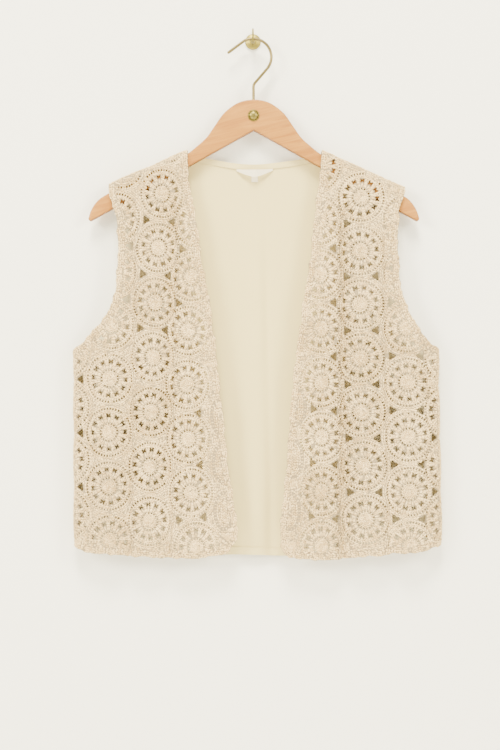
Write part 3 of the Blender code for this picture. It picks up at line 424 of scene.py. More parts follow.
def mesh_object(name, verts, faces, material, smooth=True):
    """A mesh piece from vertex and face arrays; faces may be triangles or quads."""
    data = bpy.data.meshes.new(name)
    faces = np.asarray(faces, np.int32)
    sides = faces.shape[1]
    data.vertices.add(len(verts))
    data.vertices.foreach_set("co", np.asarray(verts, np.float32).ravel())
    data.loops.add(faces.size)
    data.loops.foreach_set("vertex_index", faces.ravel())
    data.polygons.add(len(faces))
    data.polygons.foreach_set("loop_start", np.arange(0, faces.size, sides, dtype=np.int32))
    data.polygons.foreach_set("loop_total", np.full(len(faces), sides, np.int32))
    data.update(calc_edges=True)
    data.validate()
    made = bpy.data.objects.new(name, data)
    bpy.context.scene.collection.objects.link(made)
    data.materials.append(material)
    if smooth:
        data.shade_smooth()
    return made
def crisp(piece, degrees):
    """Turns a closed piece's faces outwards and keeps its sharp edges sharp."""
    shape = bmesh.new()
    shape.from_mesh(piece.data)
    bmesh.ops.recalc_face_normals(shape, faces=shape.faces)
    shape.to_mesh(piece.data)
    shape.free()
    piece.data.set_sharp_from_angle(angle=math.radians(degrees))
    return piece

def dress(piece, slot, *nodes):
    """Rides a finished piece on the body and hides the nodes it stands for; the slot is not used.
    """
    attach(piece, BODY)
    if nodes:
        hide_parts(*nodes)
    return piece


# ---------------------------------------------------------------- cloth laid on the garment


def down_front(up):
    """Share of the way from yoke to hem."""
    return (up - YOKE_UP) / (HEM_UP - YOKE_UP)


class Lay:
    """Lays arrays of flat points over the hanger's arm and round the garment's side."""

    def __init__(self, front, thick, corner, roll, towards_wall, depth):
        self.sign, self.side = front["sign"], front["side"]
        self.half, self.corner, self.roll = thick / 2, corner, roll
        self.towards_wall, self.depth = towards_wall, depth

    def roll_start(self, up):
        """Where the cloth begins to turn round the side."""
        side = self.side[0] + (self.side[1] - self.side[0]) * down_front(up)
        return side - CROCHET_THICK / 2 - self.roll

    def roll_end(self, up):
        """Where it meets the side seam, measured flat."""
        start = self.roll_start(up)
        straight = self.towards_wall * (self.depth(start, up) - SEAM_DEPTH) - self.roll
        return start + self.roll * math.pi / 2 + straight

    def fold_line(self, outward):
        """The height where it turns over the shoulder."""
        top = SHOULDER_TOP - SHOULDER_SLOPE * (outward - self.sign * BOARD_CENTRE
                                               - SHOULDER_TOP_AT)
        return top - (self.corner - self.half) / UPHILL[1]

    def over_shoulder(self, past):
        """How far up and how far back flat cloth comes."""
        quarter = self.corner * math.pi / 2
        turn = np.clip(past, 0, quarter) / self.corner
        reach = np.where(past <= 0, past, self.corner * np.sin(turn))
        turned = np.where(past <= 0, 0.0, self.corner * (1 - np.cos(turn)))
        return reach, turned + np.maximum(past - quarter, 0)

    def shoulder_bends(self):
        """Flat distances past the shoulder to its seam."""
        start = self.depth(SHOULDER_TOP_AT, self.fold_line(SHOULDER_TOP_AT))
        end = (self.corner * math.pi / 2 - self.corner
               + float(self.towards_wall * (start - SHOULDER_SEAM_DEPTH)))
        return list(np.linspace(0, self.corner * math.pi / 2, 6)) + [end]

    def flat_over(self, outward, past):
        """The flat point that far past the shoulder."""
        reach = float(self.over_shoulder(np.array(past))[0])
        flat_out = outward + UPHILL[0] * (past - reach)
        return flat_out, self.fold_line(flat_out) + past / UPHILL[1]

    def middle(self, outward, up):
        """Points in the middle of the cloth's thickness."""
        past = (up - self.fold_line(outward)) * UPHILL[1]
        reach, turned = self.over_shoulder(past)
        over = past > 0
        outward = np.where(over, outward - UPHILL[0] * (past - reach), outward)
        up = np.where(over, up - UPHILL[1] * (past - reach), up)
        start = self.roll_start(up)
        beyond = np.maximum(outward - start, 0)
        angle = np.minimum(beyond / self.roll, math.pi / 2)
        depth = self.depth(np.minimum(outward, start), up)
        turned = turned + self.roll * (1 - np.cos(angle)) + beyond - self.roll * angle
        outward = np.where(beyond > 0, start + self.roll * np.sin(angle), outward)
        return np.stack([self.sign * outward, self.towards_wall * turned - depth, up], axis=-1)

    def frames(self, outward, up, step=0.4 * MM):
        """Middle points with unit vectors outward, upward and off the garment's outside."""
        across = unit(self.middle(outward + step, up) - self.middle(outward - step, up))
        along = self.middle(outward, up + step) - self.middle(outward, up - step)
        normal = unit(np.cross(across, along) * self.sign * self.towards_wall)
        along = np.cross(normal, across) * self.sign * self.towards_wall
        return self.middle(outward, up), across, along, normal

    def place(self, outward, up, off):
        """Points off the middle, on the outside."""
        points, _, _, normal = self.frames(outward, up)
        return points + normal * np.asarray(off)[..., None]


def fold_depth(folds, outward, up, near=1.0, far=1.0):
    """Depth of the folds; near and far scale their width on their inner and outer side."""
    total = 0.0 * outward
    for fold in folds:
        away = outward - (fold.yoke + (fold.hem - fold.yoke) * down_front(up)) * MM
        width = np.where(away < 0, near, far) * fold.width * MM
        total = total + fold.depth * MM * np.exp(-(away / width) ** 2)
    return total


def slack(outward, up, seed):
    """Slow unevenness of hand-made cloth, within about 1 mm either way."""
    draw = np.random.default_rng(seed)
    total = 0.0 * outward
    for wave in SLACK_WAVES:
        turn, phase = draw.uniform(0, math.pi), draw.uniform(0, 2 * math.pi)
        along = outward * math.cos(turn) + up * math.sin(turn)
        total = total + SLACK_HEIGHT * np.sin(2 * math.pi * along / (wave * MM) + phase)
    return total


def front_lay(front):
    def depth(outward, up):
        under = lay.fold_line(outward) - up
        base = (YOKE_DEPTH + (CHEST_DEPTH - YOKE_DEPTH) * ease(under, *CHEST_FADE)
                + (HEM_DEPTH - CHEST_DEPTH) * ease(-up, *HEM_FADE))
        # The drawn folds drop steeply on their inner side and come back slowly
        deep = fold_depth(front["folds"], outward, up, FOLD_NEAR, FOLD_FAR) * front["sharper"]
        deep = deep * settings().fold_scale
        loose = slack(outward, up, SLACK_SEED + front["sign"])
        return base + (loose - deep) * ease(under, *FOLD_FADE)

    lay = Lay(front, CROCHET_THICK, SHOULDER_CORNER + CROCHET_THICK / 2, SIDE_ROLL, 1, depth)
    return lay


def back_lay(front):
    def depth(outward, up):
        calm = ease(-outward, *BACK_SIDE_FADE) * ease(-up, *BACK_YOKE_FADE)
        return BACK_DEPTH + fold_depth(BACK_FOLDS, outward * front["sign"], up) * calm

    return Lay(front, BACK_THICK, BACK_CORNER, BACK_SIDE_ROLL, -1, depth)


# ---------------------------------------------------------------- flat shapes


def shoulder_edges(front, lay, parts):
    """Edges of what lies over the shoulder: at the neck, along the seam and at the tip."""
    wide = front["tip_out"] - front["neck_out"]
    lines = [[lay.flat_over(front["neck_out"] + wide * k / parts, past)
              for k in range(parts + 1)] for past in lay.shoulder_bends()]
    return [line[0] for line in lines], lines[-1], [line[-1] for line in lines[::-1]]


def side_seam(front, lay, parts):
    """The side seam, from the underarm down to the hem."""
    ups = np.linspace(front["underarm"], front["side_hem"], parts)
    return [(float(lay.roll_end(up)), up) for up in ups]


def uneven(line, draw):
    """A hand-made edge: the line with slow bumps, none at its ends."""
    lengths = lengths_along(line)
    ahead = unit(np.gradient(line, axis=0))
    total = np.zeros(len(line))
    for wave, height in EDGE_BUMPS:
        phase = draw.uniform(0, 2 * math.pi)
        total += height * MM * np.sin(2 * math.pi * lengths / (wave * MM) + phase)
    calm = np.minimum(1, np.minimum(lengths, lengths[-1] - lengths) / EDGE_FADE)
    return line + left_of(ahead) * (total * calm)[:, None]


def front_outline(front, lay, step, draw=None):
    """A front's flat outline, with hand-made edges where a draw is given."""
    neck, seam, tip = shoulder_edges(front, lay, parts=40)
    side = side_seam(front, lay, parts=90)
    arm = [tip[-1]] + in_metres(front["armhole"]) + [side[0]]
    hem = [side[-1]] + in_metres(front["hem"])
    edge = [hem[-1]] + in_metres(front["front_edge"]) + [neck[0]]
    lines = [smooth_through(line, step, 1) for line in (arm, hem, edge)]
    if draw is not None:
        lines = [uneven(line, draw) for line in lines]
    arm, hem, edge = lines
    return joined(seam, tip, arm, side, hem, edge, neck)


def column_place(column, up):
    """The curve through a column's places at yoke, waist and hem."""
    t = down_front(up)
    bend = 2 * (column.yoke + column.hem - 2 * column.waist)
    return (column.yoke + (4 * column.waist - 3 * column.yoke - column.hem) * t
            + bend * t * t) * MM


# A motif's middle, and its width and height against its radius
Motif = namedtuple("Motif", "out up squash tall")


def is_oval(shape):
    return shape.squash < OVAL_UNDER


def motif_columns(front, more=0):
    """Every motif, column by column, with more round ones above and below."""
    columns = []
    for column in front["columns"]:
        extra, tall = (0, OVAL_TALL) if is_oval(column) else (more, 1.0)
        ups = [(column.top - row * column.pitch) * MM
               for row in range(-extra, column.count + extra)]
        columns.append([Motif(column_place(column, up), up, column.squash, tall) for up in ups])
    return columns


def gap_loops(front, outline):
    """Three-cornered gaps between neighbouring motifs, where no fold closes them."""
    loops = []
    columns = motif_columns(front)
    for index, motifs in enumerate(columns):
        beside = [columns[k] for k in (index - 1, index + 1) if 0 <= k < len(columns)]
        for upper, lower in zip(motifs, motifs[1:]):
            between = (upper.up + lower.up) / 2
            for others in beside:
                third = min(others, key=lambda m: abs(m.up - between))
                if is_oval(upper) or abs(third.up - between) > MOTIF_REACH / 2:
                    continue
                out = (upper.out + lower.out + third.out) / 3
                folded = fold_depth(front["folds"], out, between)
                if between >= FOLDS_CLOSE_UNDER or folded <= front["closed_at"]:
                    loops.append(gap_loop((upper, lower, third)))
    return [loop for loop in loops if inside(loop, outline).all()
            and reach_to(loop, outline).min() > GAP_MARGIN]


def gap_loop(motifs):
    """The gap between three motifs: it runs out between each two and bends in at each one."""
    middles = np.array([m[:2] for m in motifs])
    centre = middles.mean(axis=0)
    squash = np.array((motifs[0].squash, 1.0))
    corners = [unit((middles[k] + middles[(k + 1) % 3]) / 2 - centre) for k in range(3)]
    loop = []
    for k in range(3):
        side = unit(centre - middles[(k + 1) % 3])
        near, far = [centre + (corner * GAP_OUT * MM - side * GAP_IN * MM) * squash
                     for corner in (corners[k], corners[(k + 1) % 3])]
        loop += [centre + corners[k] * GAP_CORNER * squash, near,
                 centre - side * GAP_SIDE * squash, far]
    return np.array(loop)


def motif_distance(points, motifs):
    """Each point's distance from every motif's middle, in that motif's own measure."""
    middles = np.array(motifs)
    across = (points[:, None, 0] - middles[:, 0]) / middles[:, 2]
    up = (points[:, None, 1] - middles[:, 1]) / middles[:, 3]
    return np.hypot(across, up)


# ---------------------------------------------------------------- stitches


class Stitches:
    """Yarn stitches: flat place (two columns), direction, length, width, lift and tone."""

    def __init__(self, tone=0.5):
        self.rows = []
        self.tone = tone

    def lay_down(self, points, angles, length, width, lift):
        """Adds a stitch at each point; its length, width and lift are in millimetres."""
        same = [np.full(len(points), value)
                for value in (length * MM, width * MM, lift * MM, self.tone)]
        self.rows.append(np.column_stack([points, angles] + same))

    def all(self):
        return np.vstack(self.rows)


def around(motif, radius, angles):
    """Flat points at a radius (mm) and angles in a motif, and the row's direction there."""
    radius = radius * MM
    points = np.column_stack([motif.out + radius * motif.squash * np.cos(angles),
                              motif.up + radius * motif.tall * np.sin(angles)])
    direction = np.arctan2(np.cos(angles) * motif.tall, -np.sin(angles) * motif.squash)
    return points, direction


def oval_round(motif, inward, step):
    """Evenly spaced places on one round of an oval, with the round's direction."""
    across, up = max(OVAL_LEAST, OVAL_ACROSS - inward), OVAL_UP - inward
    dense = np.linspace(0, 2 * math.pi, 181)
    ring = np.column_stack([across * np.cos(dense), up * np.sin(dense)]) * MM
    ring = even_steps(ring, step * MM)
    ahead = np.roll(ring[:-1], -1, axis=0) - np.roll(ring[:-1], 1, axis=0)
    return ring[:-1] + np.array(motif[:2]), np.arctan2(ahead[:, 1], ahead[:, 0])


def oval_stitches(stitches, motif):
    for row in OVAL_ROWS:
        step, width = ((OVAL_POST_STEP, OVAL_POST_WIDTH) if row is OVAL_POST
                       else (OVAL_STEP, OVAL_WIDTH))
        points, direction = oval_round(motif, row.inward, step)
        stitches.lay_down(points, direction + math.radians(row.lean), OVAL_LENGTH, width,
                          row.lift)


def round_stitches(stitches, motif, turn):
    for row in MOTIF_ROWS:
        angles = turn + spread_round(row.count, row.shift)
        points, direction = around(motif, row.radius, angles)
        stitches.lay_down(points, direction + math.radians(row.lean), row.length, row.width,
                          row.lift)
    for dots in DOT_ROWS:
        points, direction = around(motif, dots.radius, turn + spread_round(dots.count, 0.5))
        stitches.lay_down(points, direction + math.pi / 2, dots.length, dots.width, DOT_LIFT)
    for post in POSTS:
        for k in range(post.pieces):
            radius = POST_FROM + (post.end - POST_FROM) * (k + 0.5) / post.pieces
            swing = post.side * (POST_SWING + (POST_BOW if k == 1 else 0.0))
            points, direction = around(motif, radius, turn + math.radians(swing)
                                       + spread_round(PETALS))
            lean = math.pi / 2 + post.side * math.radians(POST_LEAN * (1 - k))
            stitches.lay_down(points, direction + lean, (post.end - POST_FROM) / post.pieces
                              * POST_OVERLAP, POST_WIDTH, POST_LIFT)
    for one in SINGLES:
        angles = turn + math.radians(one.past) + spread_round(PETALS)
        points, direction = around(motif, one.radius, angles)
        stitches.lay_down(points, direction + one.lean, one.length, one.width, one.lift)


def motif_holes(motif, turn, skew, draw):
    """Bow-tie holes and dots of one round motif, as flat loops."""
    loops = []
    across, radii = np.array(PETAL_HOLE).T
    for angle in turn + spread_round(PETALS):
        size = draw.uniform(*PETAL_SIZES)
        radius = PETAL_MEAN + (radii - PETAL_MEAN) * size
        loop, _ = around(motif, radius, angle + across * size * skew / radius)
        loops.append(anticlockwise(loop))
    for dots in DOT_ROWS:
        angles = turn + spread_round(dots.count)
        centres, _ = around(motif, dots.radius, angles)
        sizes = dots.size * (1 + DOT_SWELL * np.sin(angles * 2 + draw.uniform(0, 2 * math.pi)))
        loops += [dot_loop(centre, own) for centre, own in zip(centres, sizes)]
    return loops


def oval_pits(motif):
    """Where an oval's posts leave the ground bare, as flat loops."""
    points, _ = oval_round(motif, OVAL_POST.inward, OVAL_POST_STEP)
    between = (points + np.roll(points, -1, axis=0)) / 2
    return [dot_loop(centre, OVAL_DOT) for centre in between]


def dot_loop(centre, size):
    angles = np.arange(DOT_SIDES) * 2 * math.pi / DOT_SIDES
    return centre + size * MM * np.column_stack([np.cos(angles), np.sin(angles)])


def edge_stitches(stitches, outline, motifs, draw):
    """Rows of stitches along the outline, and more where no motif reaches."""
    closed = np.vstack([outline, outline[:1]])
    for row in range(STRIP_ROWS):
        inward = EDGE_START + EDGE_PITCH * row
        line = even_steps(closed, EDGE_STEP)[:-1]
        ahead = unit(np.roll(line, -1, axis=0) - np.roll(line, 1, axis=0))
        points = line + left_of(ahead) * inward
        near = reach_to(points, outline)
        keep = inside(points, outline) & (near > inward * EDGE_KEEP)
        if row >= EDGE_ROWS:
            clear = motif_distance(points, motifs).min(axis=1) > MOTIF_REACH + STRIP_MARGIN
            keep &= clear & (inward < STRIP_REACH)
        angles = np.arctan2(ahead[:, 1], ahead[:, 0])
        lean = (EDGE_LEAN if row % 2 else -EDGE_LEAN) + draw.normal(0, EDGE_TURN, len(line))
        points = points + draw.normal(0, EDGE_ASTRAY, points.shape)
        stitches.lay_down(points[keep], (angles + lean)[keep], *EDGE_STITCH,
                          EDGE_LIFT if row < EDGE_ROWS else STRIP_LIFT)


# A stitch's own shape, one long and one wide: rings of points as (place, radius) round its
# length, between its two ends
STITCH_SIDES = 5
STITCH_RINGS = [(-0.30, 0.78), (0.0, 1.0), (0.30, 0.78)]


def stitch_shape():
    verts = [(-0.5, 0.0, 0.0)]
    for x, radius in STITCH_RINGS:
        for angle in 2 * math.pi * (np.arange(STITCH_SIDES) + 0.25) / STITCH_SIDES:
            verts.append((x, 0.5 * radius * math.cos(angle), 0.5 * radius * math.sin(angle)))
    verts.append((0.5, 0.0, 0.0))
    return np.array(verts), ring_faces(len(STITCH_RINGS), STITCH_SIDES)


def stitch_piece(name, lay, rows, material, draw):
    """One mesh of yarn stitches laid on the garment."""
    shape, faces = stitch_shape()
    count = len(rows)
    astray = draw.normal(0, VARY_PLACE, (count, 2))
    middle, across, along, normal = lay.frames(rows[:, 0] + astray[:, 0],
                                               rows[:, 1] + astray[:, 1])
    angle = (rows[:, 2] + draw.normal(0, VARY_TURN, count))[:, None]
    forward = across * np.cos(angle) + along * np.sin(angle)
    sideways = -across * np.sin(angle) + along * np.cos(angle)
    size = draw.normal(1.0, VARY_SIZE, count)
    length, width = rows[:, 3] * size, rows[:, 4] * size
    lift = rows[:, 5] + draw.normal(0, VARY_LIFT, count)
    strand = np.zeros((count, len(shape), 3), np.float32)
    strand[..., 0] = shape[:, 0] * length[:, None]
    strand[..., 1] = shape[:, 1] * width[:, None]
    verts = (middle[:, None, :]
             + forward[:, None, :] * (shape[:, 0] * length[:, None])[..., None]
             + sideways[:, None, :] * (shape[:, 1] * width[:, None])[..., None]
             + normal[:, None, :] * (shape[:, 2] * width[:, None] + lift[:, None])[..., None])
    if lay.sign < 0:
        faces = faces[:, ::-1]
    every = (faces[None] + (np.arange(count) * len(shape))[:, None, None]).reshape(-1, 3)
    made = mesh_object(name, verts.reshape(-1, 3), every, material)
    tone = np.clip(rows[:, 6] + draw.uniform(-VARY_TONE, VARY_TONE, count), 0, 1)
    strand[..., 2] = draw.uniform(0, 1, count)[:, None]
    made.data.attributes.new("tone", "FLOAT", "POINT").data.foreach_set(
        "value", np.repeat(tone, len(shape)).astype(np.float32))
    made.data.attributes.new("strand", "FLOAT_VECTOR", "POINT").data.foreach_set(
        "vector", strand.ravel())
    return made


def wall_between(name, loops, extra, lay_place, half, material, rise=None, inner=None):
    """A closed cloth wall with openings: loops are its outline and openings.

    The inner material, if any, goes on its lower face.
    """
    loops = [anticlockwise(np.array(loop)) for loop in loops]
    starts = np.cumsum([0] + [len(loop) for loop in loops])
    rounds = [list(range(a, b)) for a, b in zip(starts[:-1], starts[1:])]
    points = np.vstack(loops + ([extra] if len(extra) else []))
    made = delaunay_2d_cdt([Vector(p) for p in points], [], rounds, 1, 1e-6)
    corners = np.array([tuple(c) for c in made[0]])
    faces = np.array([face for face, owners in zip(made[2], made[5]) if list(owners) == [0]])
    used, faces = np.unique(faces, return_inverse=True)
    flat, faces = corners[used], faces.reshape(-1, 3)
    count = len(flat)
    over = np.zeros(count) if rise is None else rise(flat)
    upper = lay_place(flat[:, 0], flat[:, 1], half + over)
    lower = lay_place(flat[:, 0], flat[:, 1], np.full(count, -half))
    directed = np.vstack([faces[:, pair] for pair in ((0, 1), (1, 2), (2, 0))])
    low, high = np.sort(directed, axis=1).astype(np.int64).T
    _, first, times = np.unique(low * count + high, return_index=True, return_counts=True)
    a, b = directed[first[times == 1]].T
    sides = np.vstack([np.column_stack([b, a, a + count]),
                       np.column_stack([b, a + count, b + count])])
    every = np.vstack([faces, faces[:, ::-1] + count, sides])
    piece = mesh_object(name, np.vstack([upper, lower]), every, material)
    if inner is not None:
        piece.data.materials.append(inner)
        below = np.arange(len(every)) // len(faces) == 1
        piece.data.polygons.foreach_set("material_index", below.astype(np.int32))
    return crisp(piece, 50)


def grid_points(outline, across, down, margin, loops=()):
    """A grid of points inside an outline, clear of its edge and of the loops in it."""
    low, high = np.min(outline, axis=0), np.max(outline, axis=0)
    columns, rows = np.meshgrid(np.arange(low[0], high[0], across),
                                np.arange(low[1], high[1], down))
    points = np.column_stack([columns.ravel(), rows.ravel()])
    points = points[inside(points, outline)]
    points = points[reach_to(points, outline) > margin]
    if len(loops):
        tree = tree_of(np.vstack(loops))
        points = np.array([p for p in points if tree.find((p[0], p[1], 0.0))[2] > margin])
        for loop in loops:
            if len(loop) > DOT_SIDES and len(points):
                points = points[~inside(points, loop)]
    return points


def fill_bare(stitches, outline, loops, draw):
    """Lays short stitches wherever the rows leave the ground bare."""
    rows = stitches.all()
    ahead = np.column_stack([np.cos(rows[:, 2]), np.sin(rows[:, 2])]) * rows[:, 3:4]
    ahead = ahead * FILL_HIDDEN
    tree = tree_of(np.vstack([rows[:, :2], rows[:, :2] + ahead, rows[:, :2] - ahead]))
    places = grid_points(outline, FILL_GRID, FILL_GRID, FILL_MARGIN, loops)
    places = places[draw.permutation(len(places))]
    places = places + draw.uniform(-FILL_ASTRAY, FILL_ASTRAY, places.shape) * MM
    points, angles, taken = [], [], {}
    for place in places:
        _, index, away = tree.find((place[0], place[1], 0.0))
        if away < FILL_BARE:
            continue
        column, row = int(place[0] // FILL_APART), int(place[1] // FILL_APART)
        near = [taken[cell] for cell in ((column + i, row + j) for i in (-1, 0, 1)
                                         for j in (-1, 0, 1)) if cell in taken]
        if any(math.dist(place, other) < FILL_APART for other in near):
            continue
        taken[column, row] = place
        points.append(place)
        angles.append(rows[index % len(rows), 2])
    if points:
        stitches.lay_down(np.array(points), np.array(angles), *FILL_STITCH)


def circle_round(loop):
    """Middle and radius of the circle round a loop."""
    centre = loop.mean(axis=0)
    return centre, np.linalg.norm(loop - centre, axis=1).max()


def keep_apart(loops, outline, margin, taken):
    """The loops that stay inside the outline and clear of the loops taken before them."""
    every = np.vstack(loops)
    starts = np.cumsum([0] + [len(loop) for loop in loops[:-1]])
    safe = inside(every, outline) & (reach_to(every, outline) > margin)
    safe = np.logical_and.reduceat(safe, starts)
    kept, marks, sizes = [], [], []
    for loop in taken:
        centre, size = circle_round(loop)
        marks.append(centre)
        sizes.append(size)
    for loop, clear in zip(loops, safe):
        if not clear:
            continue
        centre, size = circle_round(loop)
        if marks:
            far = np.linalg.norm(np.array(marks) - centre, axis=1) - np.array(sizes) - size
            if far.min() < (PETALS_APART if len(loop) > DOT_SIDES else DOTS_APART):
                continue
        kept.append(loop)
        marks.append(centre)
        sizes.append(size)
    return kept


# ---------------------------------------------------------------- materials


def cotton_yarn(name, colour, dark):
    """Soft-spun cotton yarn, crocheted: matt, with plies that catch the light."""
    made, tree, shader, place = blank(name)
    tone = add(tree, "ShaderNodeAttribute", attribute_name="tone")
    strand = add(tree, "ShaderNodeAttribute", attribute_name="strand")
    patches = add(tree, "ShaderNodeTexNoise", {"Vector": place["Object"], "Scale": 38.0,
                                               "Detail": 2.0})
    fluff = add(tree, "ShaderNodeTexNoise", {"Vector": place["Object"], "Scale": 1400.0,
                                             "Detail": 3.0})
    both = add(tree, "ShaderNodeMath", {0: tone.outputs["Fac"], 1: patches.outputs["Fac"]},
               operation="ADD")
    light = add(tree, "ShaderNodeMapRange", {"Value": both.outputs[0], "From Min": 0.55,
                                             "From Max": 1.45})
    mixed = add(tree, "ShaderNodeMix", {"Factor": light.outputs["Result"], 6: dark, 7: colour},
                data_type="RGBA")
    # Two plies turn about every 2.4 mm of yarn; drawn a little coarser than they are
    turned = add(tree, "ShaderNodeMapping", {"Vector": strand.outputs["Vector"],
                                             "Rotation": (0.0, 0.0, math.radians(38))})
    plies = add(tree, "ShaderNodeTexWave", {"Vector": turned.outputs["Vector"],
                                            "Scale": 1000 / (2.0 * math.pi * 0.55),
                                            "Distortion": 0.4}, wave_profile="SIN")
    ply_bump = add(tree, "ShaderNodeBump", {"Height": plies.outputs["Fac"], "Strength": 0.5,
                                            "Distance": 0.25 * MM})
    bump = add(tree, "ShaderNodeBump", {"Height": fluff.outputs["Fac"], "Strength": 0.5,
                                        "Distance": 0.3 * MM,
                                        "Normal": ply_bump.outputs["Normal"]})
    connect(tree, shader, {"Base Color": mixed.outputs[2], "Normal": bump.outputs["Normal"],
                           "Roughness": 0.92, "IOR": 1.5, "Specular IOR Level": 0.25,
                           "Sheen Weight": 0.05, "Sheen Roughness": 0.6})
    return made


# The front opening: its middle, how far its edges would stand from it at the height 0, how
# much they close in for each metre down, and how far behind them the cloth's painted shade tone
# begins
OPEN_MIDDLE, OPEN_EDGE, OPEN_SLOPE = 4.5 * MM, 110.0 * MM, 0.1175
SHADE_PAINT_FROM, SHADE_PAINT_TO = 6 * MM, 26 * MM


def cotton_cloth(name, colour, dark, under=None):
    """Fine cotton cloth, plain woven and washed: matt, with a soft thread texture.

    Where the fronts cover it, its inside is painted with the colour under: a painted tone
    for the shade there, paler and greyer than the lit cloth.
    """
    made, tree, shader, place = blank(name)
    patches = add(tree, "ShaderNodeTexNoise", {"Vector": place["Object"], "Scale": 14.0,
                                               "Detail": 3.0})
    mixed = add(tree, "ShaderNodeMix", {"Factor": patches.outputs["Fac"], 6: dark, 7: colour},
                data_type="RGBA")
    # Painted shade: where the fronts shade the back's inside, it is painted with the colour under,
    # paler and greyer than the lit cloth
    if under:
        spot = add(tree, "ShaderNodeSeparateXYZ", {0: place["Object"]})
        facing = add(tree, "ShaderNodeSeparateXYZ", {0: place["Normal"]})
        side = add(tree, "ShaderNodeMath", {0: spot.outputs["X"], 1: OPEN_MIDDLE},
                   operation="SUBTRACT")
        out = add(tree, "ShaderNodeMath", {0: side.outputs[0]}, operation="ABSOLUTE")
        past = add(tree, "ShaderNodeMath", {0: spot.outputs["Z"], 1: -OPEN_SLOPE,
                                            2: out.outputs[0]}, operation="MULTIPLY_ADD")
        cover = add(tree, "ShaderNodeMapRange", {"Value": past.outputs[0],
                                                 "From Min": OPEN_EDGE + SHADE_PAINT_FROM,
                                                 "From Max": OPEN_EDGE + SHADE_PAINT_TO})
        inward = add(tree, "ShaderNodeMath", {0: facing.outputs["Y"], 1: 0.0},
                     operation="LESS_THAN")
        painted_shade_mask = add(tree, "ShaderNodeMath", {0: cover.outputs["Result"],
                                               1: inward.outputs[0]}, operation="MULTIPLY")
        mixed = add(tree, "ShaderNodeMix", {"Factor": painted_shade_mask.outputs[0],
                                            6: mixed.outputs[2], 7: under}, data_type="RGBA")
    # Threads lie about 0.5 mm apart; drawn 1 mm apart so that they show
    across, down = [add(tree, "ShaderNodeTexWave",
                        {"Vector": place["Object"], "Scale": 160.0, "Distortion": 1.2,
                         "Detail": 2.0, "Detail Scale": 2.0}, bands_direction=direction)
                    for direction in ("X", "Z")]
    weave = add(tree, "ShaderNodeMath", {0: across.outputs["Fac"], 1: down.outputs["Fac"]},
                operation="MULTIPLY")
    bump = add(tree, "ShaderNodeBump", {"Height": weave.outputs[0], "Strength": 0.25,
                                        "Distance": 0.2 * MM})
    connect(tree, shader, {"Base Color": mixed.outputs[2], "Normal": bump.outputs["Normal"],
                           "Roughness": 0.9, "Specular IOR Level": 0.2, "Sheen Weight": 0.05})
    return made


def woven_ribbon(name, colour, dark):
    """Cotton and satin tape, woven: paler than the cloth, with a faint sheen."""
    made, tree, shader, place = blank(name)
    ribs = add(tree, "ShaderNodeTexWave", {"Vector": place["Object"], "Scale": 220.0,
                                           "Distortion": 0.5}, bands_direction="X")
    mixed = add(tree, "ShaderNodeMix", {"Factor": ribs.outputs["Fac"], 6: dark, 7: colour},
                data_type="RGBA")
    bump = add(tree, "ShaderNodeBump", {"Height": ribs.outputs["Fac"], "Strength": 0.2,
                                        "Distance": 0.15 * MM})
    connect(tree, shader, {"Base Color": mixed.outputs[2], "Normal": bump.outputs["Normal"],
                           "Roughness": 0.55, "Sheen Weight": 0.2})
    return made


def lacquered_beech(name, colour, dark):
    """Beech board, sanded and clear lacquered: pale pink-brown with short darker flecks."""
    made, tree, shader, place = blank(name)
    # Grain runs along the board; growth lines lie 3 to 6 mm apart and wander. Ray flecks are
    # 1 to 2 mm long and a third as wide
    slant = (0.0, math.radians(-13), 0.0)
    long, short = [add(tree, "ShaderNodeMapping", {"Vector": place["Object"], "Scale": scale,
                                                   "Rotation": slant}, vector_type="TEXTURE")
                   for scale in ((1 / 4, 1 / 60, 1 / 60), (1 / 260, 1 / 900, 1 / 900))]
    grain = add(tree, "ShaderNodeTexNoise", {"Vector": long.outputs["Vector"], "Scale": 3.2,
                                             "Detail": 5.0, "Roughness": 0.6,
                                             "Distortion": 0.6})
    flecks = add(tree, "ShaderNodeTexNoise", {"Vector": short.outputs["Vector"], "Scale": 1.0,
                                              "Detail": 2.0})
    fleck_line = add(tree, "ShaderNodeMapRange", {"Value": flecks.outputs["Fac"],
                                                  "From Min": 0.55, "From Max": 0.72})
    ramp = add(tree, "ShaderNodeMapRange", {"Value": grain.outputs["Fac"], "From Min": 0.3,
                                            "From Max": 0.7})
    mixed = add(tree, "ShaderNodeMix", {"Factor": ramp.outputs["Result"], 6: colour, 7: dark},
                data_type="RGBA")
    part = add(tree, "ShaderNodeMath", {0: fleck_line.outputs["Result"], 1: 0.22},
               operation="MULTIPLY")
    fleck = add(tree, "ShaderNodeMix", {"Factor": part.outputs[0], 6: mixed.outputs[2],
                                        7: linear("#7d5230")}, data_type="RGBA")
    # Painted shade: edges turned from front and back are painted darker, as if unlit
    facing = add(tree, "ShaderNodeSeparateXYZ", {0: place["Normal"]})
    flat = add(tree, "ShaderNodeMath", {0: facing.outputs["Y"]}, operation="ABSOLUTE")
    face = add(tree, "ShaderNodeMapRange", {"Value": flat.outputs[0], "From Min": 0.35,
                                            "From Max": 0.9})
    painted_edge_shade = add(tree, "ShaderNodeMix", {"Factor": face.outputs["Result"],
                                       6: linear("#80501f"), 7: fleck.outputs[2]},
               data_type="RGBA")
    bump = add(tree, "ShaderNodeBump", {"Height": grain.outputs["Fac"], "Strength": 0.12,
                                        "Distance": 0.15 * MM})
    connect(tree, shader, {"Base Color": painted_edge_shade.outputs[2], "Normal": bump.outputs["Normal"],
                           "Roughness": 0.42, "IOR": 1.5, "Specular IOR Level": 0.3,
                           "Coat Weight": 0.06, "Coat Roughness": 0.3})
    return made


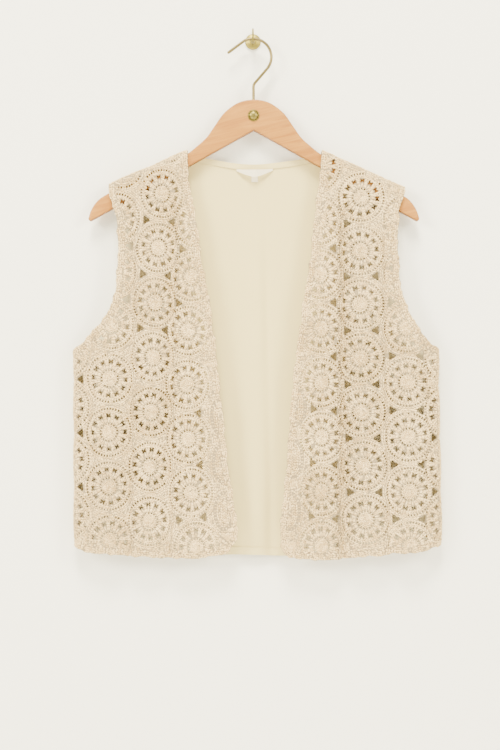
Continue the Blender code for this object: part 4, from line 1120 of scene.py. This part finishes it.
def polished_brass(name, colour, rough):
    """Brass, turned or drawn and then polished: warm, with fine wear that dulls it."""
    made, tree, shader, place = blank(name)
    wear = add(tree, "ShaderNodeTexNoise", {"Vector": place["Object"], "Scale": 160.0,
                                            "Detail": 4.0})
    rub = add(tree, "ShaderNodeMapRange", {"Value": wear.outputs["Fac"], "To Min": rough * 0.75,
                                           "To Max": rough * 1.4})
    shade = add(tree, "ShaderNodeMix", {"Factor": wear.outputs["Fac"], 6: colour,
                                        7: darker(colour, 0.86)}, data_type="RGBA")
    connect(tree, shader, {"Base Color": shade.outputs[2], "Roughness": rub.outputs["Result"],
                           "Metallic": 1.0})
    return made


def painted_wall(name, colour, both_sides):
    """Matt emulsion paint, rolled: a faint stipple. From behind it may be seen through."""
    made, tree, shader, place = blank(name)
    stipple = add(tree, "ShaderNodeTexNoise", {"Vector": place["Object"], "Scale": 260.0,
                                               "Detail": 2.0})
    bump = add(tree, "ShaderNodeBump", {"Height": stipple.outputs["Fac"], "Strength": 0.05,
                                        "Distance": 0.3 * MM})
    connect(tree, shader, {"Base Color": colour, "Normal": bump.outputs["Normal"],
                           "Roughness": 0.95, "Specular IOR Level": 0.1})
    if not both_sides:
        geometry = add(tree, "ShaderNodeNewGeometry")
        clear = add(tree, "ShaderNodeBsdfTransparent")
        seen = add(tree, "ShaderNodeMixShader", {0: geometry.outputs["Backfacing"],
                                                 1: shader.outputs[0], 2: clear.outputs[0]})
        connect(tree, tree.nodes["Material Output"], {"Surface": seen.outputs[0]})
    return made


# ---------------------------------------------------------------- what a user may change


def settings():
    return bpy.context.scene.gilet


class GILET_PG_settings(bpy.types.PropertyGroup):
    fold_scale: FloatProperty(name="Fold depth", default=1.0, min=0.0, max=2.0, subtype="FACTOR",
                              description="Depth of the fronts' folds against the solids'")
    stitch_size: FloatProperty(name="Stitch size", default=1.0, min=0.6, max=1.4,
                               subtype="FACTOR", description="Size of every yarn stitch")
    seed: IntProperty(name="Hand", default=11, min=0, description="Changes how each stitch "
                      "differs from the next")
    yarn: FloatVectorProperty(name="Yarn", size=4, subtype="COLOR", min=0, max=1,
                              default=linear("#ecd2a1"), description="Crochet yarn")
    yarn_dark: FloatVectorProperty(name="Yarn, darker", size=4, subtype="COLOR", min=0, max=1,
                                   default=linear("#c2a676"), description="Darker yarn")
    # The ground is the stitches' own yarn, painted darker: a painted shade between the stitches
    ground: FloatVectorProperty(name="Ground", size=4, subtype="COLOR", min=0, max=1,
                                default=linear("#97866b"), description="Yarn between stitches")
    cloth: FloatVectorProperty(name="Cloth", size=4, subtype="COLOR", min=0, max=1,
                               default=linear("#d8c890"), description="Back and neck band")
    wood: FloatVectorProperty(name="Wood", size=4, subtype="COLOR", min=0, max=1,
                              default=linear("#b27d38"), description="Hanger board")
    brass: FloatVectorProperty(name="Brass", size=4, subtype="COLOR", min=0, max=1,
                               default=linear("#988b46"), description="Rivet and wall hook")
    wire: FloatVectorProperty(name="Wire", size=4, subtype="COLOR", min=0, max=1,
                              default=linear("#80734f"), description="Hanger's hook")
    wall: FloatVectorProperty(name="Wall", size=4, subtype="COLOR", min=0, max=1,
                              default=linear("#f5f4f1"), description="Wall paint")
    light: FloatProperty(name="Light", default=1.0, min=0.0, max=4.0, subtype="FACTOR",
                         description="Strength of the studio light")


# ---------------------------------------------------------------- operators


# Steps along the solid's outline and the uneven one, and the ground's grid of points: how far
# apart they are across and down, and how clear of every edge
EVEN_STEP, UNEVEN_STEP = 3.0 * MM, 2.5 * MM
GROUND_GRID = (3.0 * MM, 3.0 * MM, 1.2 * MM)
MOTIF_TONES, MOTIF_OVER = (0.34, 0.66), 0.5 * MM
HOLE_MARGIN, GAP_BARE = BORDER + 0.3 * MM, 0.7 * MM


def crochet_front(side, front, draw):
    """One front: a ground with real openings and its stitches, in pieces."""
    lay = front_lay(front)
    even = front_outline(front, lay, EVEN_STEP)
    outline = anticlockwise(front_outline(front, lay, UNEVEN_STEP, draw))
    motifs = [m for column in motif_columns(front, 1) for m in column]
    gaps = [anticlockwise(loop) for loop in gap_loops(front, even)]

    def puff(flat, ground=False):
        """How far motifs stand out, and the ground's discs under their stitches."""
        near = motif_distance(flat, motifs).min(axis=1)
        disc = DISC_RISE * np.clip(1 - (near / DISC_RADIUS) ** 2, 0, 1) * ground
        return disc + PUFF * np.clip(1 - (near / PUFF_RADIUS) ** 2, 0, 1)

    stitches = Stitches()
    holes, pits = [], []
    for index, motif in enumerate(motifs):
        turn = draw.uniform(0, 2 * math.pi)
        skew = draw.choice((-1.0, 1.0))
        own = Stitches(draw.uniform(*MOTIF_TONES))
        if is_oval(motif):
            oval_stitches(own, motif)
            pits += oval_pits(motif)
        else:
            round_stitches(own, motif, turn)
            holes += [loop for loop in motif_holes(motif, turn, skew, draw)
                      if motif_distance(loop.mean(axis=0)[None], motifs).argmin() == index]
        rows = own.all()
        reach = motif_distance(rows[:, :2], motifs)
        keep = (reach.argmin(axis=1) == index) & inside(rows[:, :2], outline)
        rows, reach = rows[keep], reach[keep, index]
        near = reach_to(rows[:, :2], outline)
        in_strip = (reach > MOTIF_REACH + MOTIF_OVER) & (near < STRIP_REACH)
        stitches.rows.append(rows[(near > BORDER) & ~in_strip])
    edge_stitches(stitches, outline, motifs, draw)
    holes = [hole for hole in keep_apart(holes, outline, HOLE_MARGIN, gaps)
             if lay.fold_line(hole[:, 0].mean()) > hole[:, 1].mean()]
    fill_bare(stitches, outline, gaps + holes + pits, draw)
    rows = stitches.all()
    rows[:, 3:5] *= settings().stitch_size
    rows[:, 5] += puff(rows[:, :2])
    rows = rows[draw.uniform(0, 1, len(rows)) > SKIPPED]
    for gap in gaps:
        close = reach_to(rows[:, :2], gap) < GAP_BARE
        rows = rows[~(close | inside(rows[:, :2], gap))]
    openings = gaps + holes
    # Its top face has the ground's painted shade; its lower face has the inner colour, painted
    # paler as painted light
    ground = wall_between("crochet_ground_" + side, [outline] + openings,
                          grid_points(outline, *GROUND_GRID, openings),
                          lay.place, GROUND_THICK / 2, MATERIALS["ground"],
                          lambda flat: puff(flat, True), MATERIALS["inner"])
    order = np.argsort(rows[:, 1])[::-1]
    pieces = [stitch_piece("crochet_stitches_%s_%d" % (side, part), lay, rows[chosen],
                           MATERIALS["yarn"], draw)
              for part, chosen in enumerate(np.array_split(order, 3), 1)]
    dress(ground, "crochet_cotton", "front_" + side)
    for piece in pieces:
        dress(piece, "crochet_cotton")
    flat_area(outline, openings)


MATERIALS = {}


def make_materials():
    look = settings()
    cloth = list(look.cloth)
    MATERIALS.update({
        "yarn": cotton_yarn("cotton_yarn_crocheted", list(look.yarn), list(look.yarn_dark)),
        # The ground's colours are painted darker than the yarn's: painted shade in the gaps
        # between stitches
        "ground": cotton_yarn("cotton_yarn_painted_shade_between_stitches", list(look.ground),
                              darker(look.ground, 0.9)),
        # The ground's lower face is the same yarn painted paler than its top: painted light that
        # brightens what shows through the openings
        "inner": cotton_cloth("cotton_yarn_inside_painted_light", linear("#e4d9c4"),
                              linear("#d6cab2")),
        # The back's inside is painted paler and greyer behind the fronts: a painted tone for the
        # shade there
        "cloth": cotton_cloth("cotton_cloth_woven_painted_shade_inside", cloth, darker(cloth, 0.95),
                              linear("#dbcfaf")),
        "ribbon": woven_ribbon("cotton_tape_woven", linear("#ebe3d1"), linear("#d6cab0")),
        "beech": lacquered_beech("beech_lacquered", list(look.wood), linear("#946027")),
        "brass": polished_brass("brass_polished", list(look.brass), 0.42),
        "old_brass": polished_brass("brass_domed_darkened", linear("#80753f"), 0.4),
        "wire": polished_brass("pale_brass_wire_drawn", list(look.wire), 0.36),
    })


class GILET_OT_fronts(bpy.types.Operator):
    """Crochets both fronts over the solids of the fronts"""
    bl_idname = "gilet.fronts"
    bl_label = "Crochet fronts"

    def execute(self, context):
        for side, front in (("right", RIGHT_FRONT), ("left", LEFT_FRONT)):
            crochet_front(side, front, np.random.default_rng(settings().seed + front["sign"]))
        return {"FINISHED"}


# How far the back stands out past the front's armhole (mm), and its shares of that at the
# armhole's points after the first
BACK_PAST, PAST_SHARES = 1.3, (0.4, 1, 1, 0.5, 0, 0, 0)
BACK_STEP, CLOTH_HALF = 4 * MM, 0.5 * MM
# Grids of points in the back, its hem's turn and the neck band: across, down and margin
BACK_GRID, TURN_GRID = (3.5 * MM, 8 * MM, 2.0 * MM), (3.5 * MM, 3.0 * MM, 1.0 * MM)
BAND_GRID = (2.5 * MM, 1.6 * MM, 0.8 * MM)
# The hem's turn: half its width, its lower and upper edge and its stitches above the hem's
# line, and how far it lies inside the cloth
TURN_REACH, TURN_LOW, TURN_TOP, TURN_SEAM = 224 * MM, 0.15 * MM, 10.4 * MM, 9.0 * MM
TURN_OFF, SEAM_LIFT = 1.05 * MM, 0.55 * MM
# Machine stitches: one every, and their length, width and thickness
DASH_STEP, DASH = 2.6 * MM, (2.0, 0.5, 0.4)
# The back neck's line beyond the part that shows, and the band under it
NECK_LEFT, NECK_RIGHT = (-82, -153.2), (84, -153.8)
BAND_TALL, BAND_DEPTH, BAND_SEAM = 7.4 * MM, 7.7 * MM, 1.2 * MM


def back_half(front, lay, step):
    """Half of the back's outline, from the neck round the arm and down to the hem."""
    neck, seam, tip = shoulder_edges(front, lay, parts=20)
    side = side_seam(front, lay, parts=60)
    arm = [((a + share * BACK_PAST) * MM, b * MM)
           for (a, b), share in zip(front["armhole"][1:], PAST_SHARES)]
    arm_line = smooth_through([tip[-1]] + arm + [side[0]], step, 1)
    return neck[:-1] + seam[:-1] + tip[:-1] + [tuple(p) for p in arm_line[:-1]] + side


def back_place(across, up, off):
    """Points of the back, off its middle towards the inside of the garment."""
    found = np.empty((len(across), 3))
    for front, chosen in ((RIGHT_FRONT, across <= 0), (LEFT_FRONT, across > 0)):
        lay = back_lay(front)
        found[chosen] = lay.place(np.abs(across[chosen]), up[chosen], -np.asarray(off)[chosen])
    return found


def neck_line():
    return smooth_through([NECK_LEFT] + BACK_NECK + [NECK_RIGHT], 2.5 * MM)


def dashes(name, line, place):
    """A row of short machine stitches along a flat line."""
    shape, faces = stitch_shape()
    line = even_steps(line, DASH_STEP)
    ahead = unit(np.gradient(line, axis=0))
    count = len(line)
    length, width, thick = DASH
    verts = []
    for x, y, z in shape:
        flat = line + ahead * x * length * MM + left_of(ahead) * (y * width * MM)
        verts.append(place(flat[:, 0], flat[:, 1],
                           np.full(count, SEAM_LIFT + z * thick * MM)))
    every = faces[None] * count + np.arange(count)[:, None, None]
    return mesh_object(name, np.vstack(verts), every.reshape(-1, 3), MATERIALS["cloth"])


class GILET_OT_back(bpy.types.Operator):
    """Makes the plain cloth back with its hem and the neck band"""
    bl_idname = "gilet.back"
    bl_label = "Cloth back"

    def execute(self, context):
        left = back_half(LEFT_FRONT, back_lay(LEFT_FRONT), BACK_STEP)
        right = [(-x, y) for x, y in back_half(RIGHT_FRONT, back_lay(RIGHT_FRONT), BACK_STEP)]
        neck = [right[0]] + in_metres(BACK_NECK) + [left[0]]
        hem = [left[-1]] + in_metres(BACK_HEM[::-1]) + [right[-1]]
        hem_line = smooth_through(hem, BACK_STEP, 1)
        outline = anticlockwise(joined(smooth_through(neck, BACK_STEP, 1), left, hem_line,
                                       right[::-1]))
        cloth = wall_between("back_cloth", [outline], grid_points(outline, *BACK_GRID),
                             back_place, CLOTH_HALF, MATERIALS["cloth"])
        dress(cloth, "cotton_cloth", "back_panel")
        hem_line = hem_line[(np.abs(hem_line[:, 0]) < TURN_REACH)]
        strip = strip_between(hem_line + np.array((0, TURN_LOW)),
                              hem_line + np.array((0, TURN_TOP)))

        def turned_up(across, up, off):
            return back_place(across, up, off + TURN_OFF)

        turn_up = wall_between("back_hem", [strip], grid_points(strip, *TURN_GRID), turned_up,
                               CLOTH_HALF, MATERIALS["cloth"])
        seam = dashes("back_hem_stitches", hem_line + np.array((0, TURN_SEAM)), turned_up)
        for piece in (turn_up, seam):
            dress(piece, "cotton_cloth")
        flat_area(outline)
        self.neck_band()
        return {"FINISHED"}

    def neck_band(self):
        upper = neck_line()
        upper[:, 1] += 0.4 * MM
        lower = upper - np.array((0, BAND_TALL))
        outline = strip_between(upper, lower)

        def place(across, up, off):
            return np.stack([across, -(BAND_DEPTH + off), up], axis=-1)

        band = wall_between("neck_band_cloth", [outline], grid_points(outline, *BAND_GRID),
                            place, CLOTH_HALF, MATERIALS["cloth"])
        seam = dashes("neck_band_stitches", lower + np.array((0, BAND_SEAM)), place)
        dress(band, "cotton_cloth", "neck_band")
        dress(seam, "cotton_cloth")
        flat_area(outline)


# The ribbon, at its ends and more at its middle: where it starts under the neck's line, how
# tall it is and how far it stands out, and its half thickness
LABEL_LEFT, LABEL_RIGHT = -22.0 * MM, 26.5 * MM
LABEL_UNDER, LABEL_DEPTH, LABEL_HALF = 7.3 * MM, 7.75 * MM, 0.3 * MM
LABEL_TALL, LABEL_DROP, LABEL_BOW = 2.2 * MM, 8.0 * MM, 8.0 * MM
LABEL_GRID, TAB_GRID = (1.0 * MM, 1.0 * MM, 0.5 * MM), (0.8 * MM, 0.8 * MM, 0.4 * MM)
# The tab: its upper edge, width and height, half its thickness, and how far it curls away from
# the height where it lies flat
TAB_TOP, TAB_WIDE, TAB_TALL, TAB_HALF = -171.3 * MM, 8.6 * MM, 15.5 * MM, 0.25 * MM
TAB_FLAT_AT, TAB_CURL, TAB_CURL_OVER = 179 * MM, 0.7 * MM, 8 * MM


def label_bow(across):
    """How far the loop bows at each place, from 0 at its ends to 1."""
    t = np.clip((across - LABEL_LEFT) / (LABEL_RIGHT - LABEL_LEFT), 0, 1)
    return (1 - np.abs(2 * t - 1) ** 1.15) ** 0.95


class GILET_OT_label(bpy.types.Operator):
    """Makes the bare loop label and the small tab under it"""
    bl_idname = "gilet.label"
    bl_label = "Loop label"

    def execute(self, context):
        line = neck_line()
        across = np.linspace(LABEL_LEFT, LABEL_RIGHT, 49)
        under = np.interp(across, line[:, 0], line[:, 1]) - LABEL_UNDER
        low = under - LABEL_TALL - LABEL_DROP * label_bow(across)
        outline = strip_between(np.column_stack([across, under]), np.column_stack([across, low]))

        def place(x, up, off):
            return np.stack([x, -(LABEL_DEPTH + LABEL_BOW * label_bow(x) + off), up], axis=-1)

        ribbon = wall_between("loop_label", [outline], grid_points(outline, *LABEL_GRID), place,
                              LABEL_HALF, MATERIALS["ribbon"])
        dress(ribbon, "ribbon", "neck_label")
        flat_area(outline)
        middle = (LABEL_LEFT + LABEL_RIGHT) / 2
        left, right = middle - TAB_WIDE / 2, middle + TAB_WIDE / 2
        corners = np.array([(left, TAB_TOP), (right, TAB_TOP), (right, TAB_TOP - TAB_TALL),
                            (left, TAB_TOP - TAB_TALL), (left, TAB_TOP)])
        outline = even_steps(corners, 0.8 * MM)[:-1]

        def tab_place(x, up, off):
            curl = TAB_CURL * ((up + TAB_FLAT_AT) / TAB_CURL_OVER) ** 2
            return np.stack([x, -(LABEL_DEPTH + curl + off), up], axis=-1)

        tab = wall_between("label_tab_tape", [outline], grid_points(outline, *TAB_GRID),
                           tab_place, TAB_HALF, MATERIALS["ribbon"])
        dress(tab, "ribbon", "label_tab")
        flat_area(outline)
        return {"FINISHED"}


BOARD_TOP = [(0, -78.5), (13, -80.2), (25.5, -85.4), (40.1, -97.2), (52.2, -114), (63, -129.2),
             (76.3, -141.4), (84.5, -148.2), (92, -153.0), (100, -157.0), (120, -166.2),
             (160, -186.2), (196.6, -205.3), (208.3, -214.1), (215.9, -225.5), (219.9, -237.5)]
BOARD_TIP = (217.3, -240.2)
APEX_UNDER = -119.3 * MM
EDGE_ROUND = 3.6 * MM


class GILET_OT_hanger(bpy.types.Operator):
    """Makes the beech board with softly rounded edges"""
    bl_idname = "gilet.hanger"
    bl_label = "Hanger board"

    def execute(self, context):
        top = smooth_through(BOARD_TOP, 3 * MM)
        right = [tuple(p) for p in top] + in_metres([BOARD_TIP])
        under = even_steps(np.array([right[-1], (0.0, APEX_UNDER)]), 6 * MM)
        half = right + [tuple(p) for p in under[1:]]
        left = [(-x, y) for x, y in half[-2:0:-1]]
        outline = np.array(half + left)
        outline[:, 0] += BOARD_CENTRE
        shape = bmesh.new()
        verts = [shape.verts.new((x, -BOARD_DEPTH - BOARD_THICK / 2, z)) for x, z in outline]
        face = shape.faces.new(verts)
        made = bmesh.ops.extrude_face_region(shape, geom=[face])
        moved = [v for v in made["geom"] if isinstance(v, bmesh.types.BMVert)]
        bmesh.ops.translate(shape, vec=(0, BOARD_THICK, 0), verts=moved)
        bmesh.ops.recalc_face_normals(shape, faces=shape.faces)
        data = bpy.data.meshes.new("hanger_board")
        shape.to_mesh(data)
        shape.free()
        board = bpy.data.objects.new("hanger_board", data)
        bpy.context.scene.collection.objects.link(board)
        data.materials.append(MATERIALS["beech"])
        soften = board.modifiers.new("rounded", "BEVEL")
        soften.width = EDGE_ROUND
        soften.segments = 5
        soften.limit_method = "ANGLE"
        soften.angle_limit = math.radians(60)
        bpy.context.view_layer.update()
        done = bpy.data.meshes.new_from_object(
            board.evaluated_get(bpy.context.evaluated_depsgraph_get()))
        board.modifiers.clear()
        board.data = done
        done.shade_smooth()
        done.set_sharp_from_angle(angle=math.radians(35))
        dress(board, "beech", "hanger_body")
        return {"FINISHED"}


# The wire: its route up from the board (mm), the bend's centre and radius, and its end
WIRE_FOOT, WIRE_RADIUS = 0.8, 1.9 * MM
WIRE_ROUTE = [(WIRE_FOOT, -96.0), (WIRE_FOOT, -80.0), (WIRE_FOOT, -66.0), (WIRE_FOOT, -60.5),
              (1.7, -57.2), (3.6, -54.7)]
BEND_CENTRE, BEND_RADIUS, WIRE_END = (0.1, -21.3), 24.4, (-32.3, -15.2)
# Turned pieces: (radius, distance from the wall side) in mm
RIVET_UP, DOME, DOME_RISE = -100.1 * MM, 6.1, 3.4
RIVET_FLANGE = [(7.6, 0.3), (7.8, 0.6), (7.5, 1.05), (6.9, 1.2), (6.6, 0.95), (6.25, 0.85)]
ROSE_UP = 2.2 * MM
ROSE = [(0.3, 0.0), (10.1, 0.0), (10.5, 0.4), (10.4, 1.0), (9.9, 1.7), (8.8, 2.3), (7.4, 2.7),
        (5.6, 3.2), (4.2, 3.9), (3.4, 4.6), (2.9, 5.4), (0.4, 5.6)]
# The stem runs out from the wall, bends up and ends as the pin: (outward, up) in mm, the
# bend's radius, and the radius at these steps along it
STEM_UP, PIN_OUT, PIN_BEND = -1.1, 24.0, 3.2
STEM_OUT, PIN_UP = (4.0, 10, 16), (6.0, 10.0, 13.6)
PIN_STEPS, PIN_RADII = (0, 16, 22), [2.2 * MM, 2.2 * MM, 1.5 * MM, 1.1 * MM]
# A rod's rounded ends: how far out and how wide, against its radius
CAPS = [(0.35, 0.94), (0.72, 0.7), (0.94, 0.34)]


def arc(start, stop, step):
    """Cosine and sine of every angle from start to before stop, in degrees."""
    turns = [math.radians(degrees) for degrees in range(start, stop, step)]
    return [(math.cos(turn), math.sin(turn)) for turn in turns]


def tube(name, path, radii, material, sides=20):
    """A round rod along a path, closed at both ends with rounded caps."""
    ahead = unit(np.gradient(path, axis=0))
    side = unit(np.cross(ahead, (1.0, 0.0, 0.0) if abs(ahead[0][0]) < 0.9 else (0.0, 1.0, 0.0)))
    other = np.cross(ahead, side)
    radii = np.broadcast_to(radii, len(path))
    rings = [(path[0] - ahead[0] * radii[0] * reach, 0, radii[0] * share)
             for reach, share in CAPS[::-1]]
    rings += [(path[k], k, radii[k]) for k in range(len(path))]
    rings += [(path[-1] + ahead[-1] * radii[-1] * reach, -1, radii[-1] * share)
              for reach, share in CAPS]
    verts = [path[0] - ahead[0] * radii[0]]
    for centre, k, radius in rings:
        for a in spread_round(sides):
            verts.append(centre + (side[k] * math.cos(a) + other[k] * math.sin(a)) * radius)
    verts.append(path[-1] + ahead[-1] * radii[-1])
    return mesh_object(name, verts, ring_faces(len(rings), sides), material)


def lathe(name, profile, centre, material, sides=48):
    """A piece turned about Y: profile rows are (radius, distance from the wall side)."""
    x, y, z = centre
    verts = [(x, y - profile[0][1], z)]
    for radius, reach in profile:
        verts += [(x + radius * math.cos(a), y - reach, z + radius * math.sin(a))
                  for a in spread_round(sides)]
    verts.append((x, y - profile[-1][1], z))
    return crisp(mesh_object(name, verts, ring_faces(len(profile), sides), material), 45)


class GILET_OT_metal(bpy.types.Operator):
    """Makes the hanger's wire hook, the rivet and the wall hook"""
    bl_idname = "gilet.metal"
    bl_label = "Brass pieces"

    def execute(self, context):
        route = WIRE_ROUTE + [(BEND_CENTRE[0] + BEND_RADIUS * c, BEND_CENTRE[1] + BEND_RADIUS * s)
                              for c, s in arc(-40, 127, 8)] + [WIRE_END]
        line = smooth_through(route, 1.5 * MM)
        path = np.column_stack([line[:, 0], np.full(len(line), -BOARD_DEPTH), line[:, 1]])
        hook = tube("hanger_wire", path, WIRE_RADIUS, MATERIALS["wire"])
        dress(hook, "hook_wire", "hanger_hook")
        profile = [(0.2, 0.3)] + RIVET_FLANGE + [(DOME * c, 1.0 + DOME_RISE * s)
                                                 for c, s in arc(0, 86, 8)]
        rivet = lathe("hanger_rivet_head", in_metres(profile),
                      (WIRE_FOOT * MM, -BOARD_DEPTH - BOARD_THICK / 2, RIVET_UP),
                      MATERIALS["old_brass"])
        dress(rivet, "brass", "hanger_rivet")
        rose = lathe("hook_rose", in_metres(ROSE), (0, 0, ROSE_UP), MATERIALS["brass"])
        stem = [(0, -out, STEM_UP) for out in STEM_OUT]
        stem += [(0, -(PIN_OUT - PIN_BEND) - PIN_BEND * s, STEM_UP + PIN_BEND * (1 - c))
                 for c, s in arc(0, 91, 15)]
        stem += [(0, -PIN_OUT, up) for up in PIN_UP]
        path = even_steps(np.array(stem) * MM, 1.0 * MM)
        radii = np.interp(np.arange(len(path)), PIN_STEPS + (len(path) - 1,), PIN_RADII)
        pin = tube("hook_pin", path, radii, MATERIALS["old_brass"])
        dress(rose, "brass", "wall_hook")
        dress(pin, "brass")
        return {"FINISHED"}


WARM_WHITE = "#fff7dc"
CAMERA_PLACE = (-3.9 * MM, -1.9, -444.2 * MM)
# The height of the view at the distance where the cloth hangs
VIEW_TALL, VIEW_DEPTH = 0.9975, 15 * MM
# The wall stands just behind the object; its half width, floor and top, and the floor's front
WALL_BACK, WALL_OUT, WALL_LOW, WALL_TOP, FLOOR_NEAR = 0.0008, 4, -1.5, 2.5, -5
# The air's strength from below and above, and soft lamps: place, size (m) and power (W)
AIR_LOW, AIR_HIGH = 0.45, 1.65
Lamp = namedtuple("Lamp", "name place size power")
LAMPS = [Lamp("left", (-2.3, -2.2, 0.7), 1.2, 168.0), Lamp("right", (2.3, -2.2, 0.7), 1.2, 136.0),
         Lamp("top", (-0.3, -2.4, 3.4), 1.6, 564.0)]
LIT = Vector((0, 0, -0.42))


def plane(name, near, far, material):
    """A flat sheet across the studio between two lines, each given as (Y, Z)."""
    corners = [(-WALL_OUT, *near), (WALL_OUT, *near), (WALL_OUT, *far), (-WALL_OUT, *far)]
    return mesh_object(name, corners, [(0, 1, 2, 3)], material, False)


class GILET_OT_stage(bpy.types.Operator):
    """Sets up the wall, floor, soft lights and camera"""
    bl_idname = "gilet.stage"
    bl_label = "Studio"

    def execute(self, context):
        look = settings()
        foot = (WALL_BACK, WALL_LOW)
        wall = plane("studio_wall", foot, (WALL_BACK, WALL_TOP),
                     painted_wall("wall_emulsion", list(look.wall), False))
        wall.visible_shadow = False
        floor = plane("studio_floor", (FLOOR_NEAR, WALL_LOW), foot,
                      painted_wall("floor_emulsion", list(look.wall), True))
        world = bpy.data.worlds.new("studio_air")
        world.use_nodes = True
        tree = world.node_tree
        way = add(tree, "ShaderNodeTexCoord")
        parts = add(tree, "ShaderNodeSeparateXYZ", {0: way.outputs["Generated"]})
        power = add(tree, "ShaderNodeMapRange",
                    {"Value": parts.outputs["Z"], "From Min": -0.5, "From Max": 0.5,
                     "To Min": AIR_LOW * look.light, "To Max": AIR_HIGH * look.light})
        connect(tree, tree.nodes["Background"], {"Color": linear(WARM_WHITE),
                                                 "Strength": power.outputs["Result"]})
        context.scene.world = world
        for lamp in LAMPS:
            data = bpy.data.lights.new("studio_" + lamp.name, "AREA")
            data.shape = "DISK"
            data.size = lamp.size
            data.energy = lamp.power * look.light
            data.color = linear(WARM_WHITE)[:3]
            holder = bpy.data.objects.new("studio_" + lamp.name, data)
            holder.location = lamp.place
            towards = LIT - Vector(lamp.place)
            holder.rotation_euler = towards.to_track_quat("-Z", "Y").to_euler()
            context.scene.collection.objects.link(holder)
        data = bpy.data.cameras.new("camera")
        camera = bpy.data.objects.new("camera", data)
        camera.location = CAMERA_PLACE
        camera.rotation_euler = (math.pi / 2, 0, 0)
        data.sensor_width = 36.0
        data.lens = data.sensor_width / 2 / (VIEW_TALL / 2 / (-CAMERA_PLACE[1] - VIEW_DEPTH))
        context.scene.collection.objects.link(camera)
        context.scene.camera = camera
        return {"FINISHED"}


OPERATORS = [GILET_OT_stage, GILET_OT_fronts, GILET_OT_back, GILET_OT_label, GILET_OT_hanger,
             GILET_OT_metal]


class GILET_PT_panel(bpy.types.Panel):
    """Lists the gilet's pieces and what may be changed"""
    bl_idname = "GILET_PT_panel"
    bl_label = "Gilet"
    bl_space_type = "VIEW_3D"
    bl_region_type = "UI"
    bl_category = "Gilet"

    def draw(self, context):
        for name in GILET_PG_settings.__annotations__:
            self.layout.prop(context.scene.gilet, name)
        for operator in OPERATORS:
            self.layout.operator(operator.bl_idname)


def register():
    for item in [GILET_PG_settings] + OPERATORS + [GILET_PT_panel]:
        bpy.utils.register_class(item)
    bpy.types.Scene.gilet = PointerProperty(type=GILET_PG_settings)


def unregister():
    del bpy.types.Scene.gilet
    for item in [GILET_PT_panel] + OPERATORS[::-1] + [GILET_PG_settings]:
        bpy.utils.unregister_class(item)


def main():
    register()
    make_materials()
    bpy.ops.gilet.stage()
    bpy.ops.gilet.hanger()
    bpy.ops.gilet.metal()
    bpy.ops.gilet.back()
    bpy.ops.gilet.label()
    bpy.ops.gilet.fronts()


if __name__ == "__main__":
    main()
